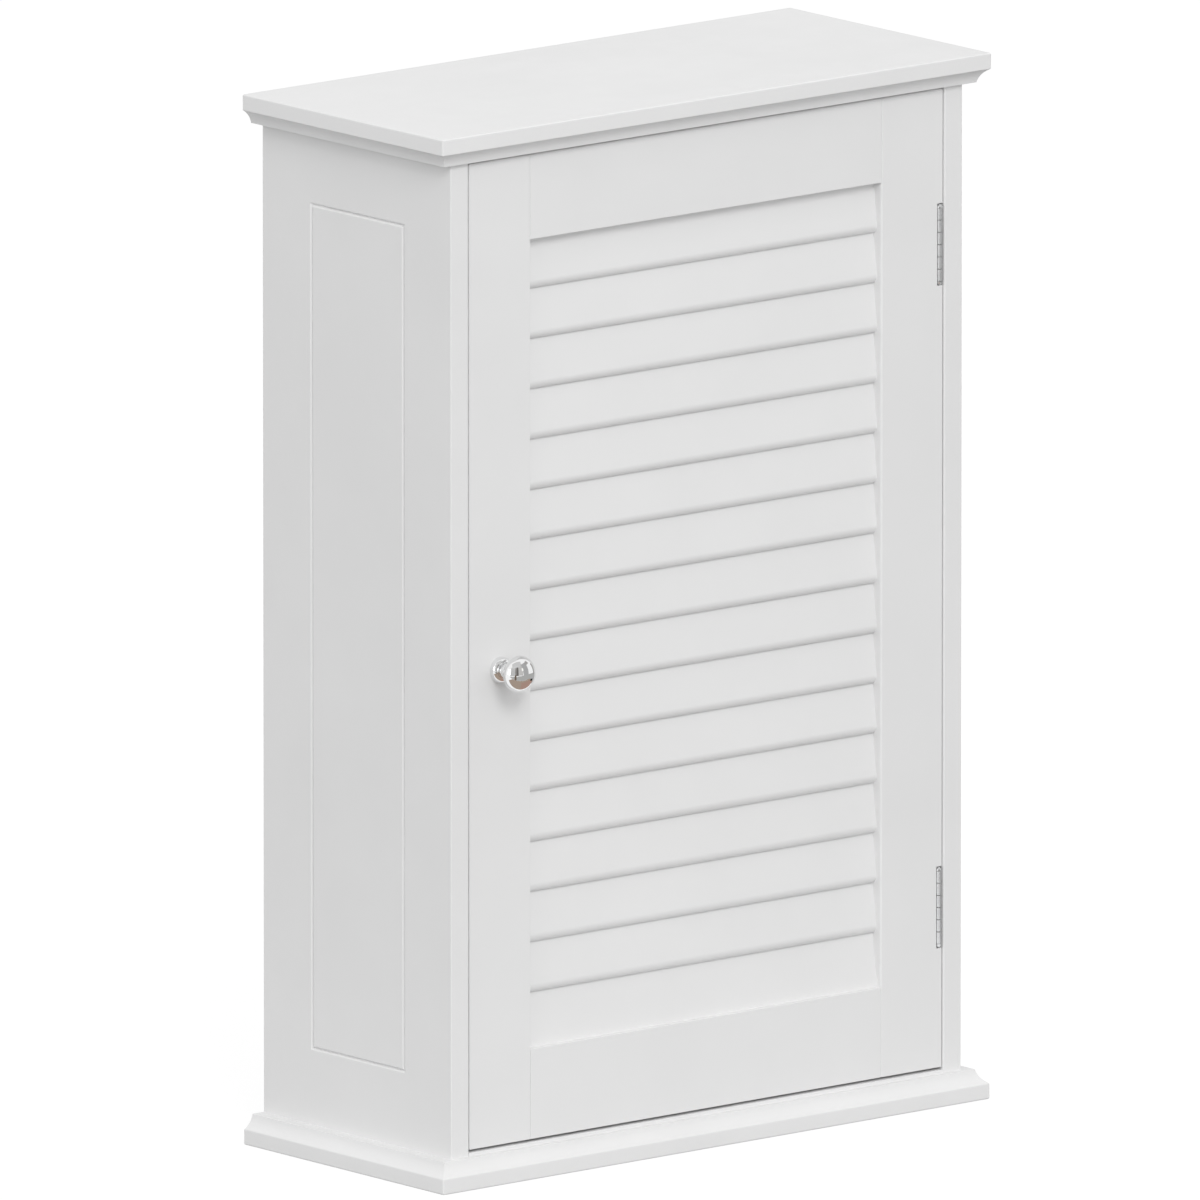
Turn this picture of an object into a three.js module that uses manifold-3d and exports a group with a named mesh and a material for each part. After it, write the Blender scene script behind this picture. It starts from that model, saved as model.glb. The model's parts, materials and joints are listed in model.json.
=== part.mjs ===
// Louvred door cabinet: a small painted wall cabinet with one hinged door of fixed slats.
// Units are millimetres. +X is to the right, +Y to the back and +Z up.
// The origin is the centre of the bottom board's underside.

import * as THREE from 'three';
import { mergeVertices } from 'three/addons/utils/BufferGeometryUtils.js';
import Module from 'manifold-3d';

const wasm = await Module();
wasm.setup();

// Driving dimensions

// The whole cabinet, over its top and bottom boards
const WIDTH = 400;
const DEPTH = 175;
const HEIGHT = 600;

// Top and bottom boards, each with a hollow moulding on three edges
const BOARD_THICKNESS = 17;
const BOARD_SIDE_OVERHANG = 13.5;
const BOARD_FRONT_OVERHANG = 9.5;
const COVE_SETBACK = 6;
const COVE_HEIGHT = 8;
const COVE_RADIUS = 11.2;
const COVE_STEPS = 8;
const FLOOR_RISE = 2;

// Side panels
const SIDE_THICKNESS = 13;
const TONGUE_HEIGHT = 3;
const TONGUE_FRONT_STOP = 8;
const TRIM_GROOVE_WIDTH = 2.4;
const TRIM_GROOVE_DEPTH = 1.3;
const TRIM_GROOVE_FRONT_MARGIN = 41.5;
const TRIM_GROOVE_BACK_MARGIN = 43.9;
const TRIM_GROOVE_TOP_MARGIN = 40.8;
const TRIM_GROOVE_BOTTOM_MARGIN = 43.9;

// Back panel and the rail that hangs the cabinet
const BACK_THICKNESS = 3;
const BACK_REBATE = 6;
const HANGING_RAIL_THICKNESS = 12;
const HANGING_RAIL_HEIGHT = 45;
const WALL_HOLE_RADIUS = 2.5;
const WALL_HOLE_SPACING = 240;
const BACK_HOLE_RADIUS = 3;

// Shelf and its supports
const SHELF_THICKNESS = 12;
const SHELF_SIDE_GAP = 2;
const SHELF_DOOR_GAP = 8;
const SHELF_BACK_GAP = 1;
const SHELF_ROW_COUNT = 3;
const SHELF_ROW_SPACING = 60;
const SHELF_PIN_INSET = 30;
const SHELF_PIN_RADIUS = 2.5;
const SHELF_PIN_PLUG_LENGTH = 8;
const SHELF_PIN_PLATE_THICKNESS = 1.5;
const SHELF_PIN_PLATE_WIDTH = 10;
const SHELF_PIN_PLATE_HEIGHT = 14;
const SHELF_PIN_LEDGE_LENGTH = 8;
const SHELF_PIN_LEDGE_THICKNESS = 2.5;

// Door frame
const DOOR_THICKNESS = 16;
const DOOR_RECESS = 1;
const DOOR_LATCH_GAP = 1.1;
const DOOR_HINGE_GAP = 0.5;
const DOOR_END_GAP = 1.5;
const LATCH_STILE_WIDTH = 44.3;
const HINGE_STILE_WIDTH = 44.9;
const TOP_RAIL_HEIGHT = 48.4;
const BOTTOM_RAIL_HEIGHT = 51.7;
const TENON_LENGTH = 15;
const TENON_THICKNESS = 6;
const TENON_SHOULDER = 8;

// Slats
const SLAT_COUNT = 16;
const SLAT_THICKNESS = 3.3;
const SLAT_LIP_RADIUS = 5.4;
const SLAT_LIP_DEPTH = 2.54;
const SLAT_LIP_STEPS = 5;
const SLAT_SETBACK = 3.4;
const SLAT_LAP = 6;
const SLAT_LAP_GAP = 0.4;
const SLAT_HOUSING = 6;
const TOP_SLAT_TUCK = 5.95;
const BOTTOM_SLAT_RISE = 2.6;
const BOTTOM_SLAT_TUCK = 2;

// Butt hinges
const HINGE_AXIS_INSET = 2.5;
const HINGE_AXIS_SUNK = 0.6;
const UPPER_HINGE_DROP = 88.9;
const LOWER_HINGE_RISE = 92.1;
const KNUCKLE_COUNT = 6;
const KNUCKLE_PITCH = 7;
const KNUCKLE_GAP = 0.3;
const KNUCKLE_RADIUS = 1.75;
const KNUCKLE_SIDES = 16;
const LEAF_THICKNESS = 0.8;
const LEAF_WIDTH = 15;
const LEAF_SCREW_SPACING = 24;
const LEAF_SCREW_INSET = 5.5;
const PIN_RADIUS = 0.8;
const PIN_CAP_HEIGHT = 2.2;
const PIN_SIDES = 12;
const PIN_CAP_STEPS = 4;
const NOTCH_CLEARANCE = 0.35;

// Knob
const KNOB_EDGE_DISTANCE = 22.3;
const KNOB_BELOW_MIDDLE = 9.5;
const KNOB_PROJECTION = 24;
const KNOB_HEAD_RADIUS = 10.5;
const KNOB_HEAD_PLANE = 16.5;
const KNOB_NECK_RADIUS = 4.3;
const KNOB_NECK_PLANE = 7.5;
const KNOB_FOOT_RADIUS = 7.5;
const KNOB_FOOT_EDGE = 0.8;
const KNOB_FOOT_THICKNESS = 4.6;
const KNOB_SIDES = 24;
const KNOB_STEPS = 5;
const KNOB_BORE_DEPTH = 10;
const KNOB_SCREW_RADIUS = 2;
const KNOB_SCREW_HEAD_RADIUS = 4;
const KNOB_SCREW_HEAD_HEIGHT = 2.2;

// Magnetic catch
const CATCH_BELOW_TOP = 43;
const CATCH_BODY_HEIGHT = 32;
const CATCH_BODY_WIDTH = 14;
const CATCH_BODY_DEPTH = 14;
const CATCH_EAR_HEIGHT = 10;
const CATCH_EAR_THICKNESS = 2.5;
const CATCH_SCREW_RADIUS = 1.4;
const CATCH_SCREW_HEAD_RADIUS = 2.8;
const CATCH_SCREW_LENGTH = 10;
const MAGNET_WIDTH = 6.4;
const MAGNET_HEIGHT = 24;
const MAGNET_DEPTH = 10;
const MAGNET_PROUD = 0.5;
const STRIKE_WIDTH = 12;
const STRIKE_HEIGHT = 36;
const STRIKE_THICKNESS = 1.2;
const STRIKE_GAP = 0.3;

// Countersunk wood screws in the hinges, catch and strike plate
const SMALL_SCREW_RADIUS = 1.3;
const SMALL_SCREW_HEAD_RADIUS = 2.6;
const SMALL_SCREW_LENGTH = 10;
const STRIKE_SCREW_LENGTH = 9;
const SMALL_RECESS_DEPTH = 0.9;
const SMALL_RECESS_LENGTH = 2.8;
const SMALL_RECESS_WIDTH = 0.6;

// Screws that hold the bottom board to the side panels
const BOARD_SCREW_RADIUS = 2;
const BOARD_SCREW_HEAD_RADIUS = 4;
const BOARD_SCREW_LENGTH = 40;
const BOARD_SCREW_SUNK = 0.5;
const BOARD_SCREW_EDGE_DISTANCE = 35;
const BOARD_RECESS_DEPTH = 1.8;
const BOARD_RECESS_LENGTH = 4.4;
const BOARD_RECESS_WIDTH = 0.9;

// Shared fits
const FIT_GAP = 0.3;
const SCREW_SIDES = 12;
const SCREW_TIP_LENGTH = 2;
const OVERRUN = 2;

// Places worked out from the dimensions

const carcassHalfWidth = WIDTH / 2 - BOARD_SIDE_OVERHANG;
const innerHalfWidth = carcassHalfWidth - SIDE_THICKNESS;
const back = DEPTH / 2;
const front = BOARD_FRONT_OVERHANG - DEPTH / 2;
const backPanelFace = back - BACK_THICKNESS;
const bottomBoardTop = BOARD_THICKNESS;
const topBoardUnderside = HEIGHT - BOARD_THICKNESS;
const floor = bottomBoardTop + FLOOR_RISE;

const doorFront = front + DOOR_RECESS;
const doorBack = doorFront + DOOR_THICKNESS;
const doorLeft = DOOR_LATCH_GAP - innerHalfWidth;
const doorRight = innerHalfWidth - DOOR_HINGE_GAP;
const doorBottom = floor + DOOR_END_GAP;
const doorTop = topBoardUnderside - DOOR_END_GAP;
const openingLeft = doorLeft + LATCH_STILE_WIDTH;
const openingRight = doorRight - HINGE_STILE_WIDTH;
const openingBottom = doorBottom + BOTTOM_RAIL_HEIGHT;
const openingTop = doorTop - TOP_RAIL_HEIGHT;

const topSlatEdge = openingTop + TOP_SLAT_TUCK;
const bottomSlatCorner = openingBottom + BOTTOM_SLAT_RISE;
const slatPitch = (topSlatEdge - SLAT_LAP - bottomSlatCorner) / SLAT_COUNT;
const slatTilt = Math.asin((SLAT_THICKNESS + SLAT_LAP_GAP) / slatPitch);
const slatHeight = (slatPitch + SLAT_LAP) / Math.cos(slatTilt);
const lipTurn = Math.acos(1 - SLAT_LIP_DEPTH / SLAT_LIP_RADIUS);
const lipHeight = SLAT_LIP_RADIUS * Math.sin(lipTurn);
const slatLength = openingRight - openingLeft + 2 * SLAT_HOUSING;

const hingeAxisX = innerHalfWidth - HINGE_AXIS_INSET;
const hingeAxisY = doorFront + HINGE_AXIS_SUNK;
const hingeHeights = {
  upper: doorTop - UPPER_HINGE_DROP,
  lower: doorBottom + LOWER_HINGE_RISE,
};
const barrelLength = KNUCKLE_COUNT * KNUCKLE_PITCH;
const webFront = KNUCKLE_RADIUS - LEAF_THICKNESS;
const leafBack = hingeAxisY + LEAF_WIDTH;
const leafScrewY = leafBack - LEAF_SCREW_INSET;

const shelfFront = doorBack + SHELF_DOOR_GAP;
const shelfBack = backPanelFace - SHELF_BACK_GAP;
const shelfUnderside = (floor + topBoardUnderside - SHELF_THICKNESS) / 2;
const shelfHalfWidth = innerHalfWidth - SHELF_SIDE_GAP;
const shelfPinFront = shelfFront + SHELF_PIN_INSET;
const shelfPinBack = shelfBack - SHELF_PIN_INSET;

const knobX = doorLeft + KNOB_EDGE_DISTANCE;
const knobZ = (doorBottom + doorTop) / 2 - KNOB_BELOW_MIDDLE;

const strikeFace = doorBack + STRIKE_THICKNESS;
const magnetFace = strikeFace + STRIKE_GAP;
const catchFace = magnetFace + MAGNET_PROUD;
const catchZ = topBoardUnderside - CATCH_BELOW_TOP;
const magnetX = CATCH_BODY_WIDTH / 2 - innerHalfWidth;
const catchScrewReach = (CATCH_BODY_HEIGHT + CATCH_EAR_HEIGHT) / 2;
const catchScrewY = catchFace + CATCH_BODY_DEPTH / 2;

// Directions that screws and pins can point in
const LEFT = new THREE.Vector3(-1, 0, 0);
const RIGHT = new THREE.Vector3(1, 0, 0);
const BACKWARD = new THREE.Vector3(0, 1, 0);
const DOWN = new THREE.Vector3(0, 0, -1);
const UP = new THREE.Vector3(0, 0, 1);

// Materials

const whitePaint = new THREE.MeshStandardMaterial({
  color: 0xe6e6e6, roughness: 0.45, metalness: 0, flatShading: true });
const chrome = new THREE.MeshStandardMaterial({
  color: 0xd6d8da, roughness: 0.06, metalness: 1, flatShading: true });
const hingeSteel = new THREE.MeshStandardMaterial({
  color: 0xb9bcbe, roughness: 0.22, metalness: 1, flatShading: true });
const screwSteel = new THREE.MeshStandardMaterial({
  color: 0xa9acae, roughness: 0.3, metalness: 1, flatShading: true });
const whitePlastic = new THREE.MeshStandardMaterial({
  color: 0xdededc, roughness: 0.5, metalness: 0, flatShading: true });
const magnetSteel = new THREE.MeshStandardMaterial({
  color: 0x6b6d70, roughness: 0.4, metalness: 1, flatShading: true });

// Solids: three.js makes each shape, and manifold-3d only joins and cuts them

// Keeps a geometry's positions, merges its shared corners and drops triangles of no area.
function closedGeometry(geometry) {
  const bare = new THREE.BufferGeometry();
  const source = geometry.index ? geometry.toNonIndexed() : geometry;
  bare.setAttribute('position', source.getAttribute('position').clone());
  const merged = mergeVertices(bare);
  const kept = [];
  for (let i = 0; i < merged.index.count; i += 3) {
    const [a, b, c] = merged.index.array.slice(i, i + 3);
    if (a !== b && b !== c && c !== a) kept.push(a, b, c);
  }
  merged.setIndex(kept);
  return merged;
}

function toSolid(geometry) {
  const closed = closedGeometry(geometry);
  return new wasm.Manifold(new wasm.Mesh({
    numProp: 3,
    vertProperties: new Float32Array(closed.getAttribute('position').array),
    triVerts: new Uint32Array(closed.index.array),
  }));
}

function toGeometry(solid) {
  const mesh = solid.getMesh();
  const geometry = new THREE.BufferGeometry();
  geometry.setAttribute('position', new THREE.BufferAttribute(mesh.vertProperties, 3));
  geometry.setIndex(new THREE.BufferAttribute(mesh.triVerts, 1));
  return geometry;
}

function cut(geometry, cutters) {
  const solid = cutters.reduce((rest, cutter) => rest.subtract(toSolid(cutter)), toSolid(geometry));
  return toGeometry(solid);
}

function join(geometries) {
  const [first, ...others] = geometries.map(toSolid);
  return toGeometry(others.reduce((sum, other) => sum.add(other), first));
}

function box(low, high) {
  const size = high.map((value, axis) => value - low[axis]);
  const middle = high.map((value, axis) => (value + low[axis]) / 2);
  return new THREE.BoxGeometry(...size).translate(...middle);
}

// Turns a geometry made along +Y so that it points in a direction, then moves it.
function aimed(geometry, direction, position) {
  const turn = new THREE.Quaternion().setFromUnitVectors(BACKWARD, direction);
  return geometry.applyQuaternion(turn).translate(...position);
}

function cylinder(radius, length, sides, direction, position) {
  return aimed(new THREE.CylinderGeometry(radius, radius, length, sides), direction, position);
}

// Joins loops of as many points each with a skin, and closes the first and last loops with flat caps
// or, when the loops form a ring, to each other.
function skinned(loops, isRing) {
  const positions = [];
  const addFace = (...corners) => corners.forEach((corner) => positions.push(...corner));
  const bandCount = isRing ? loops.length : loops.length - 1;
  for (let i = 0; i < bandCount; i += 1) {
    const lower = loops[i];
    const upper = loops[(i + 1) % loops.length];
    lower.forEach((corner, k) => {
      const next = (k + 1) % lower.length;
      addFace(corner, lower[next], upper[next]);
      addFace(corner, upper[next], upper[k]);
    });
  }
  if (!isRing) {
    const first = loops[0];
    const last = loops[loops.length - 1];
    for (let k = 1; k < first.length - 1; k += 1) {
      addFace(first[0], first[k + 1], first[k]);
      addFace(last[0], last[k], last[k + 1]);
    }
  }
  const geometry = new THREE.BufferGeometry();
  geometry.setAttribute('position', new THREE.Float32BufferAttribute(positions, 3));
  return geometry;
}

// Screws

// A countersunk screw along +Y: the flat of its head is at y = 0 and its tip is below.
// Grown by a gap and open above its head, the same outline is the hole that takes it.
function screwOutline({ radius, headRadius, length }, gap) {
  const headHeight = headRadius - radius;
  const shank = radius + gap;
  const head = headRadius + gap;
  const rise = gap > 0 ? OVERRUN : 0;
  const points = [
    [0, -length - gap],
    [shank / 3, -length - gap],
    [shank, SCREW_TIP_LENGTH - length - gap],
    [shank, -headHeight],
    [head, 0],
  ];
  if (rise > 0) points.push([head, rise]);
  points.push([0, rise]);
  return points.map(([radial, along]) => new THREE.Vector2(radial, along));
}

function screwHole(size, direction, position) {
  const geometry = new THREE.LatheGeometry(screwOutline(size, FIT_GAP), SCREW_SIDES);
  return aimed(geometry, direction, position);
}

function crossRecess({ depth, length, width }) {
  const arm = (x, z) => box([-x / 2, -depth, -z / 2], [x / 2, OVERRUN, z / 2]);
  return [arm(length, width), arm(width, length)];
}

function screwGeometry(size) {
  const body = new THREE.LatheGeometry(screwOutline(size, 0), SCREW_SIDES);
  return cut(body, crossRecess(size.recess));
}

const smallRecess = {
  depth: SMALL_RECESS_DEPTH, length: SMALL_RECESS_LENGTH, width: SMALL_RECESS_WIDTH };
const leafScrew = {
  radius: SMALL_SCREW_RADIUS, headRadius: SMALL_SCREW_HEAD_RADIUS,
  length: SMALL_SCREW_LENGTH, recess: smallRecess };
const strikeScrew = { ...leafScrew, length: STRIKE_SCREW_LENGTH };
const catchScrew = {
  radius: CATCH_SCREW_RADIUS, headRadius: CATCH_SCREW_HEAD_RADIUS,
  length: CATCH_SCREW_LENGTH, recess: smallRecess };
const boardScrew = {
  radius: BOARD_SCREW_RADIUS, headRadius: BOARD_SCREW_HEAD_RADIUS,
  length: BOARD_SCREW_LENGTH,
  recess: { depth: BOARD_RECESS_DEPTH, length: BOARD_RECESS_LENGTH, width: BOARD_RECESS_WIDTH } };

// Places of the screws, which the holes in the pieces share

const boardScrewPlaces = [];
for (const [sideName, side] of [['left', -1], ['right', 1]]) {
  const x = side * (carcassHalfWidth - SIDE_THICKNESS / 2);
  boardScrewPlaces.push(
    { name: `${sideName}_front`, position: [x, front + BOARD_SCREW_EDGE_DISTANCE, BOARD_SCREW_SUNK] },
    { name: `${sideName}_back`, position: [x, back - BOARD_SCREW_EDGE_DISTANCE, BOARD_SCREW_SUNK] },
  );
}

const leafScrewPlaces = [];
for (const [hingeName, height] of Object.entries(hingeHeights)) {
  for (const [endName, end] of [['top', 1], ['bottom', -1]]) {
    leafScrewPlaces.push({
      hinge: hingeName, end: endName, z: height + end * LEAF_SCREW_SPACING / 2 });
  }
}

const catchScrewPlaces = [
  { name: 'top', position: [CATCH_EAR_THICKNESS - innerHalfWidth, catchScrewY, catchZ + catchScrewReach] },
  { name: 'bottom', position: [CATCH_EAR_THICKNESS - innerHalfWidth, catchScrewY, catchZ - catchScrewReach] },
];

const wallHolePlaces = [-1, 1].map((side) => [
  side * WALL_HOLE_SPACING / 2, back, topBoardUnderside - HANGING_RAIL_HEIGHT / 2]);

// Top and bottom boards

// The moulding's hollow as [setback, rise] from the square edge, on an arc centred outside the board.
function covePoints() {
  const chord = Math.hypot(COVE_SETBACK, COVE_HEIGHT);
  const away = Math.sqrt(COVE_RADIUS ** 2 - (chord / 2) ** 2);
  const centre = [
    COVE_SETBACK / 2 - away * COVE_HEIGHT / chord,
    COVE_HEIGHT / 2 + away * COVE_SETBACK / chord,
  ];
  const angleTo = (setback, rise) => Math.atan2(rise - centre[1], setback - centre[0]);
  const start = angleTo(0, 0);
  const sweep = angleTo(COVE_SETBACK, COVE_HEIGHT) - start;
  return Array.from({ length: COVE_STEPS + 1 }, (_, i) => {
    const angle = start + sweep * i / COVE_STEPS;
    return [centre[0] + COVE_RADIUS * Math.cos(angle), centre[1] + COVE_RADIUS * Math.sin(angle)];
  });
}

// A board that lies with its moulding upwards. The moulding mitres round the front corners.
function boardBlank() {
  const level = (setback, height) => [
    [setback - WIDTH / 2, setback - DEPTH / 2, height],
    [WIDTH / 2 - setback, setback - DEPTH / 2, height],
    [WIDTH / 2 - setback, back, height],
    [setback - WIDTH / 2, back, height],
  ];
  const squareEdge = BOARD_THICKNESS - COVE_HEIGHT;
  const levels = [level(0, 0)];
  for (const [setback, rise] of covePoints()) levels.push(level(setback, squareEdge + rise));
  return skinned(levels, false);
}

// The housings in the top board take the side panels' tongues.
function topBoard() {
  const upsideDown = boardBlank().rotateY(Math.PI).translate(0, 0, HEIGHT);
  const housings = [-1, 1].map((side) => {
    const edges = [side * (innerHalfWidth - FIT_GAP), side * (carcassHalfWidth + FIT_GAP)];
    return box(
      [Math.min(...edges), front + TONGUE_FRONT_STOP - FIT_GAP, topBoardUnderside - OVERRUN],
      [Math.max(...edges), back + OVERRUN, topBoardUnderside + TONGUE_HEIGHT + FIT_GAP],
    );
  });
  return cut(upsideDown, housings);
}

// The raised floor lies between the side panels and in front of the back panel.
function bottomBoard() {
  const raisedFloor = box(
    [-innerHalfWidth, front, bottomBoardTop - OVERRUN], [innerHalfWidth, backPanelFace, floor]);
  const holes = boardScrewPlaces.map(({ position }) => screwHole(boardScrew, DOWN, position));
  return cut(join([boardBlank(), raisedFloor]), holes);
}

// Side panels

// A V groove that frames the outer face of a side panel, with mitred corners.
function trimGroove(side) {
  const low = [front + TRIM_GROOVE_FRONT_MARGIN, bottomBoardTop + TRIM_GROOVE_BOTTOM_MARGIN];
  const high = [back - TRIM_GROOVE_BACK_MARGIN, topBoardUnderside - TRIM_GROOVE_TOP_MARGIN];
  const loop = (spread, depth) => {
    const x = side * (carcassHalfWidth - depth);
    const corners = [
      [x, low[0] - spread, low[1] - spread],
      [x, high[0] + spread, low[1] - spread],
      [x, high[0] + spread, high[1] + spread],
      [x, low[0] - spread, high[1] + spread],
    ];
    return side > 0 ? corners : corners.reverse();
  };
  const mouth = TRIM_GROOVE_WIDTH / 2 * (1 + OVERRUN / TRIM_GROOVE_DEPTH);
  return skinned([loop(mouth, -OVERRUN), loop(-mouth, -OVERRUN), loop(0, TRIM_GROOVE_DEPTH)], true);
}

function shelfPinHoles(side) {
  const depth = SHELF_PIN_PLUG_LENGTH + FIT_GAP;
  const x = side * (innerHalfWidth + (depth - OVERRUN) / 2);
  const holes = [];
  for (let row = 0; row < SHELF_ROW_COUNT; row += 1) {
    const z = shelfPinZ() + (row - (SHELF_ROW_COUNT - 1) / 2) * SHELF_ROW_SPACING;
    for (const y of [shelfPinFront, shelfPinBack]) {
      holes.push(cylinder(SHELF_PIN_RADIUS + FIT_GAP, depth + OVERRUN, SCREW_SIDES, RIGHT, [x, y, z]));
    }
  }
  return holes;
}

// The case leaves are let into the right panel, behind its front edge.
function caseLeafRecesses() {
  return Object.values(hingeHeights).map((height) => box(
    [innerHalfWidth - OVERRUN, hingeAxisY + webFront - FIT_GAP, height - barrelLength / 2 - FIT_GAP],
    [innerHalfWidth + LEAF_THICKNESS, leafBack + FIT_GAP, height + barrelLength / 2 + FIT_GAP]));
}

function sidePanel(side) {
  const across = (inner, outer) => [side * inner, side * outer].sort((a, b) => a - b);
  const [low, high] = across(innerHalfWidth, carcassHalfWidth);
  const panel = box([low, front, bottomBoardTop], [high, back, topBoardUnderside]);
  const tongue = box(
    [low, front + TONGUE_FRONT_STOP, topBoardUnderside - OVERRUN],
    [high, back, topBoardUnderside + TONGUE_HEIGHT]);
  const [rebateLow, rebateHigh] = across(innerHalfWidth - OVERRUN, innerHalfWidth + BACK_REBATE);
  const rebate = box(
    [rebateLow, backPanelFace, bottomBoardTop - OVERRUN],
    [rebateHigh, back + OVERRUN, topBoardUnderside]);
  const screwHoles = boardScrewPlaces.map(({ position }) => screwHole(boardScrew, DOWN, position));
  const fittingHoles = side > 0
    ? [
      ...caseLeafRecesses(),
      ...leafScrewPlaces.map(({ z }) => screwHole(leafScrew, LEFT, [innerHalfWidth, leafScrewY, z])),
    ]
    : catchScrewPlaces.map(({ position }) => screwHole(catchScrew, RIGHT, position));
  return cut(join([panel, tongue]),
    [rebate, trimGroove(side), ...shelfPinHoles(side), ...screwHoles, ...fittingHoles]);
}

// Back panel and hanging rail

function backPanel() {
  const halfWidth = innerHalfWidth + BACK_REBATE - FIT_GAP;
  const panel = box(
    [-halfWidth, backPanelFace, bottomBoardTop], [halfWidth, back, topBoardUnderside - FIT_GAP]);
  const length = BACK_THICKNESS + 2 * OVERRUN;
  const holes = wallHolePlaces.map((place) =>
    cylinder(BACK_HOLE_RADIUS, length, SCREW_SIDES, BACKWARD, place).translate(0, -BACK_THICKNESS / 2, 0));
  return cut(panel, holes);
}

function hangingRail() {
  const railFront = backPanelFace - HANGING_RAIL_THICKNESS;
  const rail = box(
    [-innerHalfWidth, railFront, topBoardUnderside - HANGING_RAIL_HEIGHT],
    [innerHalfWidth, backPanelFace, topBoardUnderside]);
  const length = 2 * (HANGING_RAIL_THICKNESS + BACK_THICKNESS + OVERRUN);
  const holes = wallHolePlaces.map((place) =>
    cylinder(WALL_HOLE_RADIUS, length, SCREW_SIDES, BACKWARD, place));
  return cut(rail, holes);
}

// Shelf

function shelf() {
  return box(
    [-shelfHalfWidth, shelfFront, shelfUnderside],
    [shelfHalfWidth, shelfBack, shelfUnderside + SHELF_THICKNESS]);
}

// The plug of a support sits in the middle of the plate below its ledge.
function shelfPinZ() {
  return shelfUnderside - SHELF_PIN_LEDGE_THICKNESS - SHELF_PIN_RADIUS;
}

// A support for the right panel: a plug in the panel, a plate against it and a ledge under the shelf.
// Its origin is on the panel's face at the plug's axis.
function shelfPin() {
  const plug = cylinder(
    SHELF_PIN_RADIUS, SHELF_PIN_PLUG_LENGTH + SHELF_PIN_PLATE_THICKNESS, SCREW_SIDES, RIGHT,
    [(SHELF_PIN_PLUG_LENGTH - SHELF_PIN_PLATE_THICKNESS) / 2, 0, 0]);
  const ledgeTop = shelfUnderside - shelfPinZ();
  const halfWidth = SHELF_PIN_PLATE_WIDTH / 2;
  const plate = box(
    [-SHELF_PIN_PLATE_THICKNESS, -halfWidth, ledgeTop + SHELF_PIN_LEDGE_THICKNESS - SHELF_PIN_PLATE_HEIGHT],
    [0, halfWidth, ledgeTop + SHELF_PIN_LEDGE_THICKNESS]);
  const ledge = box(
    [-SHELF_PIN_PLATE_THICKNESS - SHELF_PIN_LEDGE_LENGTH, -halfWidth, ledgeTop - SHELF_PIN_LEDGE_THICKNESS],
    [0, halfWidth, ledgeTop]);
  return join([plug, plate, ledge]);
}

// Door frame, in the frame of the hinge axis: x and y are measured from it

const doorAt = (x, y, z) => [x - hingeAxisX, y - hingeAxisY, z];

// The outline of a slat's section: x runs from its front face to its back, y up its height.
// The lip curves back from the front face to a sharp lower edge, in front of the flat underside.
// The origin is the lower front corner before rounding, and foot is how far the slat goes below it.
function slatOutline({ hasLip, foot }, gap) {
  const outline = new THREE.Shape();
  outline.moveTo(-gap, slatHeight + gap);
  if (hasLip) {
    outline.lineTo(-gap, lipHeight);
    outline.absarc(
      SLAT_LIP_RADIUS, lipHeight, SLAT_LIP_RADIUS + gap, Math.PI, Math.PI + lipTurn, false);
    if (gap > 0) outline.lineTo(SLAT_LIP_DEPTH, -gap);
  } else {
    outline.lineTo(-gap, -foot - gap);
  }
  outline.lineTo(SLAT_THICKNESS + gap, -foot - gap);
  outline.lineTo(SLAT_THICKNESS + gap, slatHeight + gap);
  outline.closePath();
  return outline;
}

// A slat's section swept along X, centred on x = 0, upright and with its front face towards -Y.
function slatPrism(section, gap, length) {
  const geometry = new THREE.ExtrudeGeometry(slatOutline(section, gap), {
    depth: length, bevelEnabled: false, curveSegments: SLAT_LIP_STEPS });
  const upright = new THREE.Matrix4().makeBasis(BACKWARD, UP, RIGHT);
  return geometry.applyMatrix4(upright).translate(-length / 2, 0, 0);
}

const plainSlat = { hasLip: true, foot: 0 };
const bottomSlat = {
  hasLip: false,
  foot: (BOTTOM_SLAT_RISE + BOTTOM_SLAT_TUCK) / Math.cos(slatTilt),
};

const slats = Array.from({ length: SLAT_COUNT }, (_, i) => ({
  name: `slat_${String(i + 1).padStart(2, '0')}`,
  section: i === SLAT_COUNT - 1 ? bottomSlat : plainSlat,
  position: doorAt(
    (openingLeft + openingRight) / 2, doorFront + SLAT_SETBACK,
    bottomSlatCorner + (SLAT_COUNT - 1 - i) * slatPitch),
}));

// The space of one slat, with its gap, as the frame's housings and grooves are cut.
function slatSpace({ section, position }, length) {
  return slatPrism(section, FIT_GAP, length).rotateX(-slatTilt).translate(...position);
}

function slatHousings() {
  return slats.map((slat) => slatSpace(slat, slatLength + 2 * FIT_GAP));
}

// A tenon or its mortise, centred in the door's thickness and reaching from the rail into the stile.
function tenonBox(side, railBottom, railTop, gap) {
  const shoulder = side < 0 ? openingLeft : openingRight;
  const ends = [shoulder - side * OVERRUN, shoulder + side * (TENON_LENGTH + gap)];
  const middle = (doorFront + doorBack) / 2;
  const reach = TENON_THICKNESS / 2 + gap;
  return box(
    doorAt(Math.min(...ends), middle - reach, railBottom + TENON_SHOULDER - gap),
    doorAt(Math.max(...ends), middle + reach, railTop - TENON_SHOULDER + gap));
}

function stileBlank(left, right) {
  return box(doorAt(left, doorFront, doorBottom), doorAt(right, doorBack, doorTop));
}

function mortises(side) {
  return [
    tenonBox(side, openingTop, doorTop, FIT_GAP),
    tenonBox(side, doorBottom, openingBottom, FIT_GAP),
  ];
}

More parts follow.
